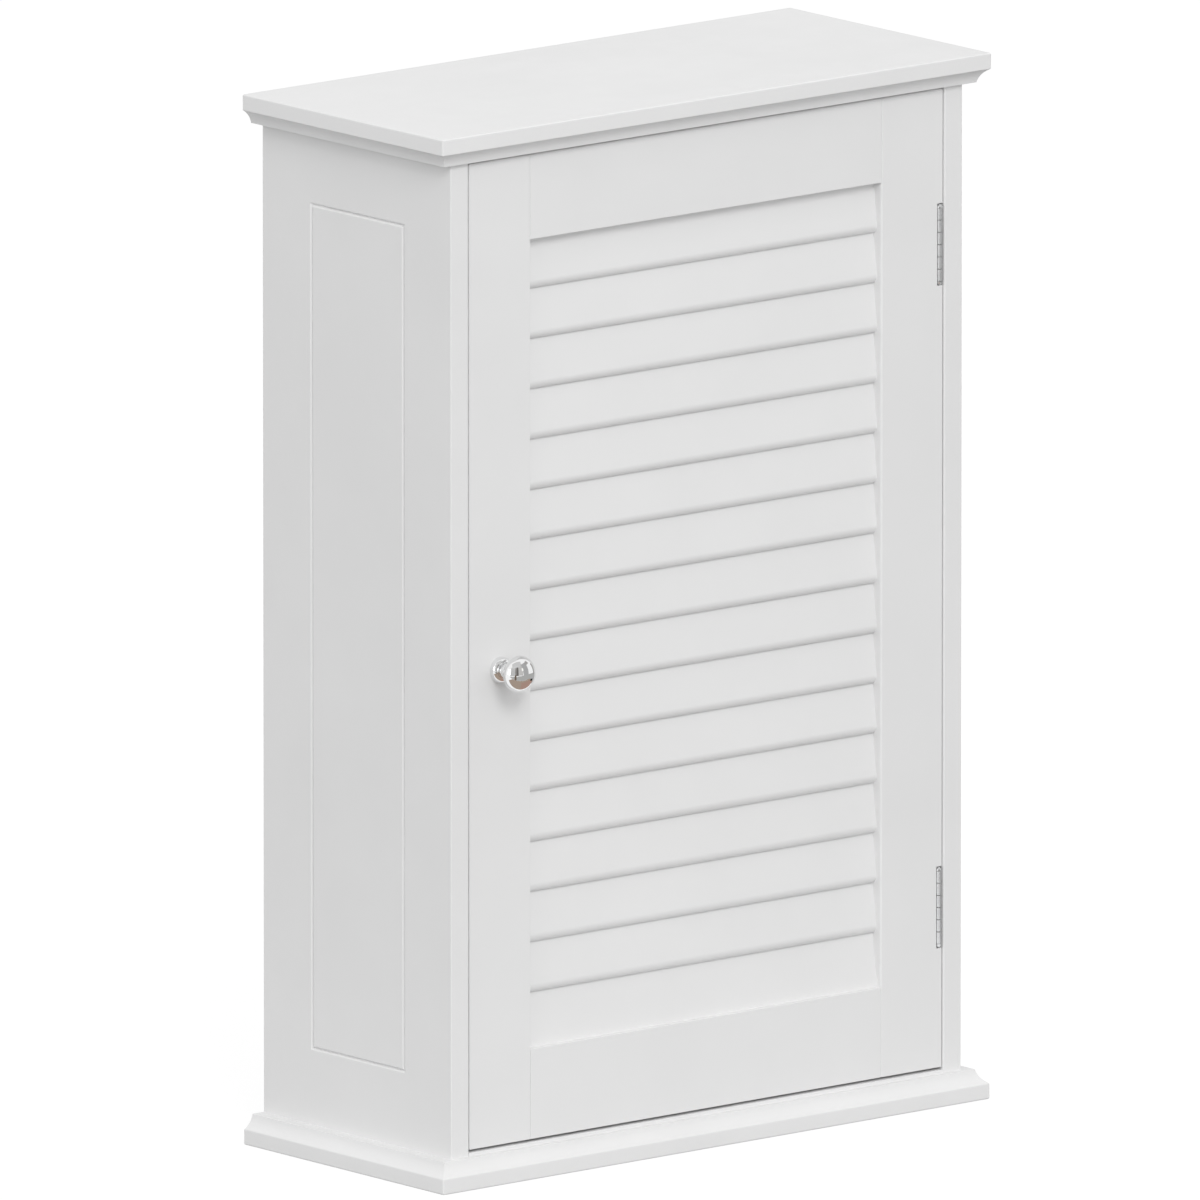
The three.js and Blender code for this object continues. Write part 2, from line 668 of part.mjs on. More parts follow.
function leftStile() {
  const knobHole = cylinder(
    KNOB_SCREW_RADIUS + FIT_GAP, DOOR_THICKNESS + 2 * OVERRUN, SCREW_SIDES, BACKWARD,
    doorAt(knobX, (doorFront + doorBack) / 2, knobZ));
  const strikeHole = screwHole(strikeScrew, BACKWARD, doorAt(magnetX, strikeFace, catchZ));
  return cut(stileBlank(doorLeft, openingLeft), [...slatHousings(), ...mortises(-1), knobHole, strikeHole]);
}

// The hinge edge is notched round each barrel, right through to the edge, and recessed for each leaf.
function rightStile() {
  const hingeCuts = Object.values(hingeHeights).flatMap((height) => {
    const notchLength = barrelLength + 2 * (PIN_CAP_HEIGHT + NOTCH_CLEARANCE);
    const reach = KNUCKLE_RADIUS + NOTCH_CLEARANCE;
    const notch = cylinder(reach, notchLength, KNUCKLE_SIDES, UP, [0, 0, height]);
    const mouth = box(
      [0, -OVERRUN, height - notchLength / 2],
      [doorRight + OVERRUN - hingeAxisX, reach, height + notchLength / 2]);
    const recess = box(
      doorAt(doorRight - LEAF_THICKNESS, doorFront - OVERRUN, height - barrelLength / 2 - FIT_GAP),
      doorAt(doorRight + OVERRUN, leafBack + FIT_GAP, height + barrelLength / 2 + FIT_GAP));
    return [notch, mouth, recess];
  });
  const screwHoles = leafScrewPlaces.map(
    ({ z }) => screwHole(leafScrew, RIGHT, doorAt(doorRight, leafScrewY, z)));
  return cut(stileBlank(openingRight, doorRight),
    [...slatHousings(), ...mortises(1), ...hingeCuts, ...screwHoles]);
}

// A rail between the stiles, grooved where a slat tucks into it.
function rail(railBottom, railTop, slat) {
  const blank = box(
    doorAt(openingLeft, doorFront, railBottom), doorAt(openingRight, doorBack, railTop));
  const groove = slatSpace(slat, slatLength + 2 * OVERRUN);
  const body = cut(blank, [groove]);
  return join([body, tenonBox(-1, railBottom, railTop, 0), tenonBox(1, railBottom, railTop, 0)]);
}

// Butt hinges, in the frame of the hinge axis and centred on the barrel's middle

const knuckleLow = (index) => index * KNUCKLE_PITCH - barrelLength / 2;

// One leaf with every second knuckle, each joined to the plate by a short web behind the barrel.
// The plate is cut back round the other leaf's knuckles.
function hingeLeaf(plateX, firstKnuckle, screwSide) {
  const half = barrelLength / 2;
  const plate = box([plateX, webFront, -half], [plateX + LEAF_THICKNESS, LEAF_WIDTH, half]);
  const bore = cylinder(PIN_RADIUS + FIT_GAP, barrelLength + 2 * OVERRUN, PIN_SIDES, UP, [0, 0, 0]);
  const knuckles = [];
  const clearings = [bore];
  for (let i = 0; i < KNUCKLE_COUNT; i += 1) {
    const low = knuckleLow(i);
    if (i % 2 === firstKnuckle) {
      const length = KNUCKLE_PITCH - KNUCKLE_GAP;
      const middle = low + KNUCKLE_PITCH / 2;
      knuckles.push(
        cylinder(KNUCKLE_RADIUS, length, KNUCKLE_SIDES, UP, [0, 0, middle]),
        box(
          [0, webFront, middle - length / 2],
          [plateX + LEAF_THICKNESS, KNUCKLE_RADIUS, middle + length / 2]));
    } else {
      clearings.push(box(
        [plateX - OVERRUN, -OVERRUN, low - KNUCKLE_GAP / 2],
        [plateX + LEAF_THICKNESS + OVERRUN, KNUCKLE_RADIUS + NOTCH_CLEARANCE,
          low + KNUCKLE_PITCH + KNUCKLE_GAP / 2]));
    }
  }
  const screwHoles = [-1, 1].map((end) => screwHole(leafScrew, screwSide,
    [screwSide === RIGHT ? plateX + LEAF_THICKNESS : plateX, LEAF_WIDTH - LEAF_SCREW_INSET,
      end * LEAF_SCREW_SPACING / 2]));
  return cut(join([plate, ...knuckles]), [...clearings, ...screwHoles]);
}

const caseLeaf = () => hingeLeaf(HINGE_AXIS_INSET, 0, LEFT);
const doorLeaf = () => hingeLeaf(doorRight - hingeAxisX - LEAF_THICKNESS, 1, RIGHT);

// The pin runs through both leaves' knuckles and ends in two domed caps.
function hingePin() {
  const shaftEnd = barrelLength / 2;
  const cap = Array.from({ length: PIN_CAP_STEPS + 1 }, (_, i) => {
    const angle = Math.PI / 2 * i / PIN_CAP_STEPS;
    return new THREE.Vector2(KNUCKLE_RADIUS * Math.cos(angle), shaftEnd + PIN_CAP_HEIGHT * Math.sin(angle));
  });
  const capFoot = new THREE.Vector2(PIN_RADIUS, shaftEnd);
  const upperHalf = [capFoot, ...cap];
  const lowerHalf = upperHalf.map((point) => new THREE.Vector2(point.x, -point.y)).reverse();
  const outline = [...lowerHalf, ...upperHalf];
  outline[0].x = 0;
  outline[outline.length - 1].x = 0;
  return aimed(new THREE.LatheGeometry(outline, PIN_SIDES), UP, [0, 0, 0]);
}

// Knob and its screw, along -Y with the origin on the stile's face

// A turned mushroom knob: a rounded foot, a neck and a domed head, bored for the screw.
function knob() {
  const bore = KNOB_SCREW_RADIUS + FIT_GAP;
  const curve = (count, place) => Array.from({ length: count + 1 }, (_, i) => place(i / count));
  const quarter = (share) => share * Math.PI / 2;
  const foot = curve(KNOB_STEPS, (share) => [
    KNOB_NECK_RADIUS + (KNOB_FOOT_RADIUS - KNOB_NECK_RADIUS) * Math.cos(quarter(share)),
    KNOB_FOOT_EDGE + (KNOB_FOOT_THICKNESS - KNOB_FOOT_EDGE) * Math.sin(quarter(share)),
  ]);
  const flare = curve(KNOB_STEPS, (share) => [
    KNOB_NECK_RADIUS + (KNOB_HEAD_RADIUS - KNOB_NECK_RADIUS) * Math.sin(quarter(share)) ** 2,
    KNOB_NECK_PLANE + (KNOB_HEAD_PLANE - KNOB_NECK_PLANE) * share,
  ]);
  const dome = curve(KNOB_STEPS, (share) => [
    KNOB_HEAD_RADIUS * Math.cos(quarter(share)),
    KNOB_HEAD_PLANE + (KNOB_PROJECTION - KNOB_HEAD_PLANE) * Math.sin(quarter(share)),
  ]);
  dome[dome.length - 1][0] = 0;
  const outline = [
    [0, KNOB_BORE_DEPTH], [bore, KNOB_BORE_DEPTH], [bore, 0], [KNOB_FOOT_RADIUS, 0],
    ...foot, ...flare, ...dome.slice(1),
  ];
  const points = outline.map(([radial, along]) => new THREE.Vector2(radial, along));
  return new THREE.LatheGeometry(points, KNOB_SIDES).rotateX(Math.PI);
}

// The screw passes through the stile from behind, with its head on the door's back face.
function knobScrew() {
  const reach = DOOR_THICKNESS + KNOB_BORE_DEPTH - FIT_GAP;
  const outline = [
    [0, -reach], [KNOB_SCREW_RADIUS, -reach], [KNOB_SCREW_RADIUS, 0], [KNOB_SCREW_HEAD_RADIUS, 0],
    [KNOB_SCREW_HEAD_RADIUS, KNOB_SCREW_HEAD_HEIGHT / 2],
    [KNOB_SCREW_HEAD_RADIUS / 2, KNOB_SCREW_HEAD_HEIGHT], [0, KNOB_SCREW_HEAD_HEIGHT],
  ];
  const points = outline.map(([radial, along]) => new THREE.Vector2(radial, along));
  const body = new THREE.LatheGeometry(points, SCREW_SIDES);
  const recess = crossRecess(boardScrew.recess).map((arm) => arm.translate(0, KNOB_SCREW_HEAD_HEIGHT, 0));
  return cut(body, recess);
}

// Magnetic catch

// The case is screwed to the left panel by its two ears and opens towards the door.
function catchCase() {
  const wall = -innerHalfWidth;
  const bodyBack = catchFace + CATCH_BODY_DEPTH;
  const bodyHalf = CATCH_BODY_HEIGHT / 2;
  const earHalf = bodyHalf + CATCH_EAR_HEIGHT;
  const body = box(
    [wall, catchFace, catchZ - bodyHalf], [wall + CATCH_BODY_WIDTH, bodyBack, catchZ + bodyHalf]);
  const ears = box(
    [wall, catchFace, catchZ - earHalf], [wall + CATCH_EAR_THICKNESS, bodyBack, catchZ + earHalf]);
  const halfWidth = MAGNET_WIDTH / 2 + FIT_GAP;
  const halfHeight = MAGNET_HEIGHT / 2 + FIT_GAP;
  const pocket = box(
    [magnetX - halfWidth, catchFace - OVERRUN, catchZ - halfHeight],
    [magnetX + halfWidth, magnetFace + MAGNET_DEPTH + FIT_GAP, catchZ + halfHeight]);
  const screwHoles = catchScrewPlaces.map(({ position }) => screwHole(catchScrew, RIGHT, position));
  return cut(join([body, ears]), [pocket, ...screwHoles]);
}

function catchMagnet() {
  return box(
    [magnetX - MAGNET_WIDTH / 2, magnetFace, catchZ - MAGNET_HEIGHT / 2],
    [magnetX + MAGNET_WIDTH / 2, magnetFace + MAGNET_DEPTH, catchZ + MAGNET_HEIGHT / 2]);
}

function strikePlate() {
  const plate = box(
    doorAt(magnetX - STRIKE_WIDTH / 2, doorBack, catchZ - STRIKE_HEIGHT / 2),
    doorAt(magnetX + STRIKE_WIDTH / 2, strikeFace, catchZ + STRIKE_HEIGHT / 2));
  return cut(plate, [screwHole(strikeScrew, BACKWARD, doorAt(magnetX, strikeFace, catchZ))]);
}

// Assembly

function addPiece(parent, name, geometry, material, position = [0, 0, 0]) {
  const mesh = new THREE.Mesh(geometry, material);
  mesh.name = name;
  mesh.position.set(...position);
  parent.add(mesh);
  return mesh;
}

function addScrew(parent, name, geometry, direction, position) {
  const mesh = addPiece(parent, name, geometry, screwSteel, position);
  mesh.quaternion.setFromUnitVectors(BACKWARD, direction);
}

const carcass = new THREE.Group();
addPiece(carcass, 'top_board', topBoard(), whitePaint);
addPiece(carcass, 'bottom_board', bottomBoard(), whitePaint);
addPiece(carcass, 'left_side_panel', sidePanel(-1), whitePaint);
addPiece(carcass, 'right_side_panel', sidePanel(1), whitePaint);
addPiece(carcass, 'back_panel', backPanel(), whitePaint);
addPiece(carcass, 'hanging_rail', hangingRail(), whitePaint);
addPiece(carcass, 'shelf', shelf(), whitePaint);

const shelfPinGeometry = shelfPin();
for (const [endName, y] of [['front', shelfPinFront], ['back', shelfPinBack]]) {
  const right = [innerHalfWidth, y, shelfPinZ()];
  const left = [-innerHalfWidth, y, shelfPinZ()];
  addPiece(carcass, `shelf_pin_right_${endName}`, shelfPinGeometry, hingeSteel, right);
  addPiece(carcass, `shelf_pin_left_${endName}`, shelfPinGeometry, hingeSteel, left).rotation.z = Math.PI;
}

const boardScrewGeometry = screwGeometry(boardScrew);
for (const { name, position } of boardScrewPlaces) {
  addScrew(carcass, `bottom_screw_${name}`, boardScrewGeometry, DOWN, position);
}

addPiece(carcass, 'catch_case', catchCase(), whitePlastic);
addPiece(carcass, 'catch_magnet', catchMagnet(), magnetSteel);
const catchScrewGeometry = screwGeometry(catchScrew);
for (const { name, position } of catchScrewPlaces) {
  addScrew(carcass, `catch_screw_${name}`, catchScrewGeometry, RIGHT, position);
}

// The door turns about the hinge axis, so its group stands there
const door = new THREE.Group();
door.position.set(hingeAxisX, hingeAxisY, 0);
addPiece(door, 'door_stile_left', leftStile(), whitePaint);
addPiece(door, 'door_stile_right', rightStile(), whitePaint);
addPiece(door, 'door_rail_top', rail(openingTop, doorTop, slats[0]), whitePaint);
addPiece(door, 'door_rail_bottom', rail(doorBottom, openingBottom, slats[SLAT_COUNT - 1]), whitePaint);

const slatGeometries = new Map(
  [plainSlat, bottomSlat].map((section) => [section, slatPrism(section, 0, slatLength)]));
for (const { name, section, position } of slats) {
  const slat = addPiece(door, name, slatGeometries.get(section), whitePaint, position);
  slat.rotation.x = -slatTilt;
}

addPiece(door, 'knob', knob(), chrome, doorAt(knobX, doorFront, knobZ));
addPiece(door, 'knob_screw', knobScrew(), screwSteel, doorAt(knobX, doorBack, knobZ));
addPiece(door, 'strike_plate', strikePlate(), hingeSteel);
addScrew(door, 'strike_screw', screwGeometry(strikeScrew), BACKWARD, doorAt(magnetX, strikeFace, catchZ));

const leafScrewGeometry = screwGeometry(leafScrew);
for (const [name, height] of Object.entries(hingeHeights)) {
  addPiece(carcass, `${name}_hinge_case_leaf`, caseLeaf(), hingeSteel, [hingeAxisX, hingeAxisY, height]);
  addPiece(carcass, `${name}_hinge_pin`, hingePin(), hingeSteel, [hingeAxisX, hingeAxisY, height]);
  addPiece(door, `${name}_hinge_door_leaf`, doorLeaf(), hingeSteel, [0, 0, height]);
}
for (const { hinge, end, z } of leafScrewPlaces) {
  addScrew(carcass, `${hinge}_hinge_case_screw_${end}`, leafScrewGeometry, LEFT,
    [innerHalfWidth, leafScrewY, z]);
  addScrew(door, `${hinge}_hinge_door_screw_${end}`, leafScrewGeometry, RIGHT,
    doorAt(doorRight, leafScrewY, z));
}

const cabinet = new THREE.Group();
cabinet.add(carcass, door);

export default cabinet;
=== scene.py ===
"""Louvred door cabinet: finer pieces, materials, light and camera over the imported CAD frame.

Lengths are in metres, in the frame of the CAD model: +X to the right, +Y to the back and +Z up,
with the origin at the centre of the bottom board's underside.
"""

import json
import math

import bmesh
import bpy
from mathutils import Matrix, Vector


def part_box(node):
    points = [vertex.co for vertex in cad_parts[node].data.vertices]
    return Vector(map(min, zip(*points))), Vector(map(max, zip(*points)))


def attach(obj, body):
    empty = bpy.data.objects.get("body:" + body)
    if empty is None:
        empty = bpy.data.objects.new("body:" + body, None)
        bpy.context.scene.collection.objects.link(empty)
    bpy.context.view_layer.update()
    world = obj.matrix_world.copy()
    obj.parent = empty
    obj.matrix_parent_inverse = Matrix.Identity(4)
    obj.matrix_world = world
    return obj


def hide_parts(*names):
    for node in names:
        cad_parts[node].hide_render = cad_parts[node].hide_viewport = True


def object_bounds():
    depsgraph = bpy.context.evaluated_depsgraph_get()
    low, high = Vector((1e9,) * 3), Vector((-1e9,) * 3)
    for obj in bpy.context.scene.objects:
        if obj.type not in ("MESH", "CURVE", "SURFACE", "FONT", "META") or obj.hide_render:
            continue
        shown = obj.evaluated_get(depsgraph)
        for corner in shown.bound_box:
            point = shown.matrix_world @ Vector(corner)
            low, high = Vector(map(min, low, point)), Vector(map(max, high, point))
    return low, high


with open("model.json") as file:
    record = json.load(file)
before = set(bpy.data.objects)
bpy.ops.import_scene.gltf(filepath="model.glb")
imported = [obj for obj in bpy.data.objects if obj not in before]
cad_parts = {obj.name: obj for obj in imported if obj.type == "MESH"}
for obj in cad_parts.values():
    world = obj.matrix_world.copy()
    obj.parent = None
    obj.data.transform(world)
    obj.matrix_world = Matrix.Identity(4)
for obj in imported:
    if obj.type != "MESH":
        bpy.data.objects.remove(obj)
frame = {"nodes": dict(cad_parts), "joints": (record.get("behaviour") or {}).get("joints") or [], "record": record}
cad_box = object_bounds()

MM = 0.001

# Camera, fitted to the seven corners of the cabinet's box in the photograph
PHOTO_PIXELS = 1200
CAMERA_AZIMUTH = math.radians(-39.873)
CAMERA_ELEVATION = math.radians(11.584)
CAMERA_LENS_MM = 1500
CAMERA_SENSOR_MM = 36
PHOTO_PIXELS_PER_METRE = 1783.4
MIDDLE_PIXEL = (618.0, 598.8)

# Eased edges of the painted pieces
TOP_FACE_EASE = 0.8 * MM
UNDERSIDE_EASE = 1.0 * MM
BOARD_CORNER = 1.1 * MM
TOP_COVE_EASE = 0.5 * MM
BOTTOM_COVE_EASE = 1.2 * MM
COVE_RIM_EASE = 0.3 * MM
PANEL_EASE = 0.6 * MM
PANEL_INNER_EASE = 1.0 * MM
PANEL_BACK_EASE = 1.8 * MM
DOOR_EASE = 0.6 * MM
DOOR_HINGE_EASE = 0.3 * MM
DOOR_TOP_EASE = 1.0 * MM
DOOR_BOTTOM_EASE = 0.3 * MM
RAISED_FLOOR_EASE = 0.25 * MM
LEFT_OPENING_EASE = 0.4 * MM
RIGHT_OPENING_EASE = 1.3 * MM
TOP_RAIL_EASE = 0.5 * MM
BOTTOM_RAIL_EASE = 0.4 * MM
JOINT_EASE = 0.12 * MM
SLAT_LIP_EASE = 0.15 * MM
SLAT_BACK_EASE = 0.3 * MM
TURNED_EASE = 0.2 * MM
EASE_STEPS = 4
LEAST_CORNER_SHARE = 1 / 5

# Eased edges of the CAD nodes that are shown as they are
NODE_EASES = {
    "shelf": 1.0 * MM,
    "hanging_rail": 1.0 * MM,
    "back_panel": 0.3 * MM,
    "catch_case": 0.5 * MM,
    "catch_magnet": 0.2 * MM,
    "strike_plate": 0.3 * MM,
}
SHELF_PIN_EASE = 0.3 * MM
NODE_EASE_SEGMENTS = 3
NODE_FLAT_ANGLE = math.radians(1)
NODE_EDGE_ANGLE = math.radians(40)
SMOOTH_ANGLE = math.radians(30)
WELD_DISTANCE = 0.001 * MM
MERGE_DISTANCE = 1e-7

# Moulding of the top and bottom boards
BOARD_THICKNESS = 17 * MM
COVE_SETBACK = 6 * MM
COVE_HEIGHT = 8 * MM
COVE_RADIUS = 11.2 * MM
COVE_STEPS = 16
COVE_EASE_SHARE = 0.8
COVE_RIM_WIDTH = 2 * MM

# Side panels
TRIM_GROOVE_WIDTH = 2.4 * MM
TRIM_GROOVE_DEPTH = 1.3 * MM
TRIM_GROOVE_FRONT_MARGIN = 41.5 * MM
TRIM_GROOVE_BACK_MARGIN = 43.9 * MM
TRIM_GROOVE_TOP_MARGIN = 40.8 * MM
TRIM_GROOVE_BOTTOM_MARGIN = 43.9 * MM
BACK_REBATE = 6 * MM
SHELF_ROW_SPACING = 60 * MM
SHELF_ROW_COUNT = 3
SHELF_PIN_RADIUS = 2.5 * MM
SHELF_PIN_LEDGE_THICKNESS = 2.5 * MM
SHELF_PIN_HOLE_DEPTH = 8.3 * MM

# Slats
SLAT_COUNT = 16
SLAT_THICKNESS = 3.3 * MM
SLAT_LIP_RADIUS = 5.4 * MM
SLAT_LIP_DEPTH = 2.54 * MM
SLAT_LIP_STEPS = 12
SLAT_SETBACK = 3.4 * MM
SLAT_LAP_GAP = 0.4 * MM
SLAT_HOUSING = 6 * MM

# Hinges
KNUCKLE_COUNT = 6
KNUCKLE_GAP = 0.3 * MM
KNUCKLE_RADIUS = 1.75 * MM
LEAF_THICKNESS = 0.8 * MM
LEAF_CORNER = 1.5 * MM
PIN_RADIUS = 0.8 * MM
PIN_CLEARANCE = 0.1 * MM
PIN_CAP_HEIGHT = 2.2 * MM
PIN_CAP_STEPS = 10
PIN_FIT = 0.3 * MM
NOTCH_CLEARANCE = 0.35 * MM

# Knob, measured along its axis from the door's face
KNOB_HEAD_RADIUS = 10.5 * MM
KNOB_HEAD_PLANE = 16.5 * MM
KNOB_NECK_RADIUS = 4.3 * MM
KNOB_NECK_PLANE = 7.5 * MM
KNOB_FOOT_RADIUS = 7.5 * MM
KNOB_FOOT_EDGE = 0.8 * MM
KNOB_FOOT_THICKNESS = 4.6 * MM
KNOB_STEPS = 20
KNOB_SIDES = 96

# Screws, whose shank and recess are given as shares of the head's radius
SCREW_SIDES = 40
SCREW_TIP_LENGTH = 2 * MM
SCREW_FIT = 0.1 * MM
SHANK_SHARE = 1 / 2
TIP_SHARE = 1 / 6
HEAD_RIM_SHARE = 1 / 20
HEAD_THROAT_SHARE = 1 / 8
RECESS_DEPTH = 0.4
RECESS_REACH = 0.58
RECESS_WIDTH = 0.2
RECESS_FLOOR_SHARE = 0.55

# The knob's screw, whose rounding is given as shares of its head's radius and height
KNOB_SCREW_HEAD_HEIGHT = 2.2 * MM
KNOB_SCREW_FACE = 0.55
KNOB_SCREW_FACE_EASE = 0.4
KNOB_SCREW_SIDE = 0.6
KNOB_SCREW_SIDE_EASE = 0.3

TURNED_SIDES = 64
OVERRUN = 2 * MM


# Outlines and meshes


def rounded(corners, closed=True):
    """The points of a flat outline whose corners, each (across, up, radius), are rounded by arcs."""
    points = []
    count = len(corners)
    for index, (across, up, radius) in enumerate(corners):
        here = Vector((across, up))
        if not radius or (not closed and index in (0, count - 1)):
            points.append(here)
            continue
        before = (Vector(corners[index - 1][:2]) - here).normalized()
        after = (Vector(corners[(index + 1) % count][:2]) - here).normalized()
        half_angle = before.angle(after) / 2
        reach = radius / math.tan(half_angle)
        centre = here + (before + after).normalized() * radius / math.sin(half_angle)
        start = here + before * reach - centre
        end = here + after * reach - centre
        first = math.atan2(start.y, start.x)
        sweep = math.remainder(math.atan2(end.y, end.x) - first, math.tau)
        for step in range(EASE_STEPS + 1):
            angle = first + sweep * step / EASE_STEPS
            points.append(centre + radius * Vector((math.cos(angle), math.sin(angle))))
    return points


def skin(loops, ring=False):
    """A closed bmesh through loops of as many points each, capped at its ends unless they form a ring."""
    shape = bmesh.new()
    rows = [[shape.verts.new(point) for point in loop] for loop in loops]
    pairs = list(zip(rows, rows[1:]))
    if ring:
        pairs.append((rows[-1], rows[0]))
    else:
        shape.faces.new(reversed(rows[0]))
        shape.faces.new(rows[-1])
    for lower, upper in pairs:
        for k in range(len(lower)):
            following = (k + 1) % len(lower)
            shape.faces.new((lower[k], lower[following], upper[following], upper[k]))
    bmesh.ops.remove_doubles(shape, verts=shape.verts, dist=MERGE_DISTANCE)
    bmesh.ops.recalc_face_normals(shape, faces=shape.faces)
    return shape


def block(low, high, axis="z", radii=(0, 0, 0, 0), ends=(0, 0)):
    """A box whose four edges along an axis and whose two end rims are eased.

    The edges go round the axis from the low corner of the other two, in the order of x, y and z.
    """
    w = "xyz".index(axis)
    u, v = (w + 1) % 3, (w + 2) % 3
    profile = [(ends[0], low[w])]
    if ends[0]:
        profile = [
            (ends[0] * (1 - math.sin(turn)), low[w] + ends[0] * (1 - math.cos(turn)))
            for turn in (math.pi / 2 * step / EASE_STEPS for step in range(EASE_STEPS + 1))
        ]
    if ends[1]:
        profile += [
            (ends[1] * (1 - math.cos(turn)), high[w] - ends[1] * (1 - math.sin(turn)))
            for turn in (math.pi / 2 * step / EASE_STEPS for step in range(EASE_STEPS + 1))
        ]
    else:
        profile.append((0, high[w]))
    loops = []
    for inset, along in profile:
        corners = [
            (low[u] + inset, low[v] + inset), (high[u] - inset, low[v] + inset),
            (high[u] - inset, high[v] - inset), (low[u] + inset, high[v] - inset),
        ]
        sized = [
            (*corner, max(radius - inset, radius * LEAST_CORNER_SHARE))
            for corner, radius in zip(corners, radii)
        ]
        loop = []
        for across, up in rounded(sized):
            point = Vector((0, 0, 0))
            point[u], point[v], point[w] = across, up, along
            loop.append(point)
        loops.append(loop)
    return skin(loops)


def turned(outline, sides=TURNED_SIDES):
    """A solid of revolution about Z from (radius, height) points, the first and last on the axis."""
    loops = []
    for radius, height in outline:
        loops.append([
            (radius * math.cos(math.tau * k / sides), radius * math.sin(math.tau * k / sides), height)
            for k in range(sides)
        ])
    return skin(loops)


def moved(shape, matrix):
    bmesh.ops.transform(shape, matrix=matrix, verts=shape.verts)
    return shape


def at(place, heading):
    """The matrix that takes a shape made along +Z to a place and a heading."""
    turn = Vector((0, 0, 1)).rotation_difference(Vector(heading)).to_matrix().to_4x4()
    return Matrix.Translation(place) @ turn


def joined(shapes):
    """One bmesh of several closed shapes, which may run into each other."""
    whole = bmesh.new()
    for shape in shapes:
        mesh = bpy.data.meshes.new("part")
        shape.to_mesh(mesh)
        shape.free()
        whole.from_mesh(mesh)
        bpy.data.meshes.remove(mesh)
    return whole


def shape_object(name, shape):
    mesh = bpy.data.meshes.new(name)
    shape.to_mesh(mesh)
    shape.free()
    holder = bpy.data.objects.new(name, mesh)
    bpy.context.scene.collection.objects.link(holder)
    return holder


def settle(holder):
    """Applies an object's modifiers to its mesh."""
    graph = bpy.context.evaluated_depsgraph_get()
    raw = holder.data
    holder.data = bpy.data.meshes.new_from_object(holder.evaluated_get(graph))
    holder.modifiers.clear()
    bpy.data.meshes.remove(raw)


def cut(holder, cutters):
    """Cuts each closed bmesh out of an object."""
    for shape in cutters:
        cutter = shape_object("cutter", shape)
        trim = holder.modifiers.new("cut", "BOOLEAN")
        trim.operation = "DIFFERENCE"
        trim.solver = "EXACT"
        trim.object = cutter
        settle(holder)
        mesh = cutter.data
        bpy.data.objects.remove(cutter)
        bpy.data.meshes.remove(mesh)


def piece(name, shape, body, slot, replaced=(), cutters=()):
    """Makes a finished piece that rides on a body and stands for the CAD nodes it replaces."""
    holder = shape_object(name, shape)
    cut(holder, cutters)
    holder.data.shade_smooth()
    holder.data.set_sharp_from_angle(angle=SMOOTH_ANGLE)
    even = holder.modifiers.new("even_shading", "WEIGHTED_NORMAL")
    even.keep_sharp = True
    settle(holder)
    holder.data.name = name
    holder.data.materials.clear()
    holder.data.materials.append(MATERIALS[slot])
    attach(holder, body)
    if replaced:
        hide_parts(*replaced)
    return holder


def ease_node(name, width):
    """Eases the edges of a CAD node, whose own mesh stays as it is."""
    node = frame["nodes"][name]
    node.modifiers.new("weld", "WELD").merge_threshold = WELD_DISTANCE
    flat = node.modifiers.new("flat_faces", "DECIMATE")
    flat.decimate_type = "DISSOLVE"
    flat.angle_limit = NODE_FLAT_ANGLE
    ease = node.modifiers.new("ease", "BEVEL")
    ease.width = width
    ease.segments = NODE_EASE_SEGMENTS
    ease.limit_method = "ANGLE"
    ease.angle_limit = NODE_EDGE_ANGLE
    ease.use_clamp_overlap = True


# Materials

NOISE_LOW = 0.3
NOISE_HIGH = 0.7
EVEN = (1, 1, 1)
UPRIGHT = (1, 1, 0.05)


def node_tree(material):
    material.use_nodes = True
    tree = material.node_tree
    tree.nodes.clear()
    return tree


def noise(tree, scale, detail, stretch):
    """A noise over the object's own coordinates, stretched along its axes."""
    place = tree.nodes.new("ShaderNodeTexCoord")
    mapping = tree.nodes.new("ShaderNodeMapping")
    mapping.inputs["Scale"].default_value = stretch
    texture = tree.nodes.new("ShaderNodeTexNoise")
    texture.inputs["Scale"].default_value = scale
    texture.inputs["Detail"].default_value = detail
    tree.links.new(place.outputs["Object"], mapping.inputs["Vector"])
    tree.links.new(mapping.outputs["Vector"], texture.inputs["Vector"])
    return texture.outputs["Fac"]


def ranged(tree, value, low, high):
    """Maps the noise's usual values to a range."""
    spread = tree.nodes.new("ShaderNodeMapRange")
    spread.inputs["From Min"].default_value = NOISE_LOW
    spread.inputs["From Max"].default_value = NOISE_HIGH
    spread.inputs["To Min"].default_value = low
    spread.inputs["To Max"].default_value = high
    tree.links.new(value, spread.inputs["Value"])
    return spread.outputs["Result"]


def blended(tree, value, first, second):
    mix = tree.nodes.new("ShaderNodeMix")
    mix.data_type = "RGBA"
    mix.inputs["A"].default_value = (*first, 1)
    mix.inputs["B"].default_value = (*second, 1)
    tree.links.new(value, mix.inputs["Factor"])
    return mix.outputs["Result"]


def bumped(tree, layers):
    """Chains bumps, each (height, distance), and returns the last normal."""
    normal = None
    for height, distance in layers:
        bump = tree.nodes.new("ShaderNodeBump")
        bump.inputs["Strength"].default_value = 1
        bump.inputs["Distance"].default_value = distance
        tree.links.new(height, bump.inputs["Height"])
        if normal:
            tree.links.new(normal, bump.inputs["Normal"])
        normal = bump.outputs["Normal"]
    return normal


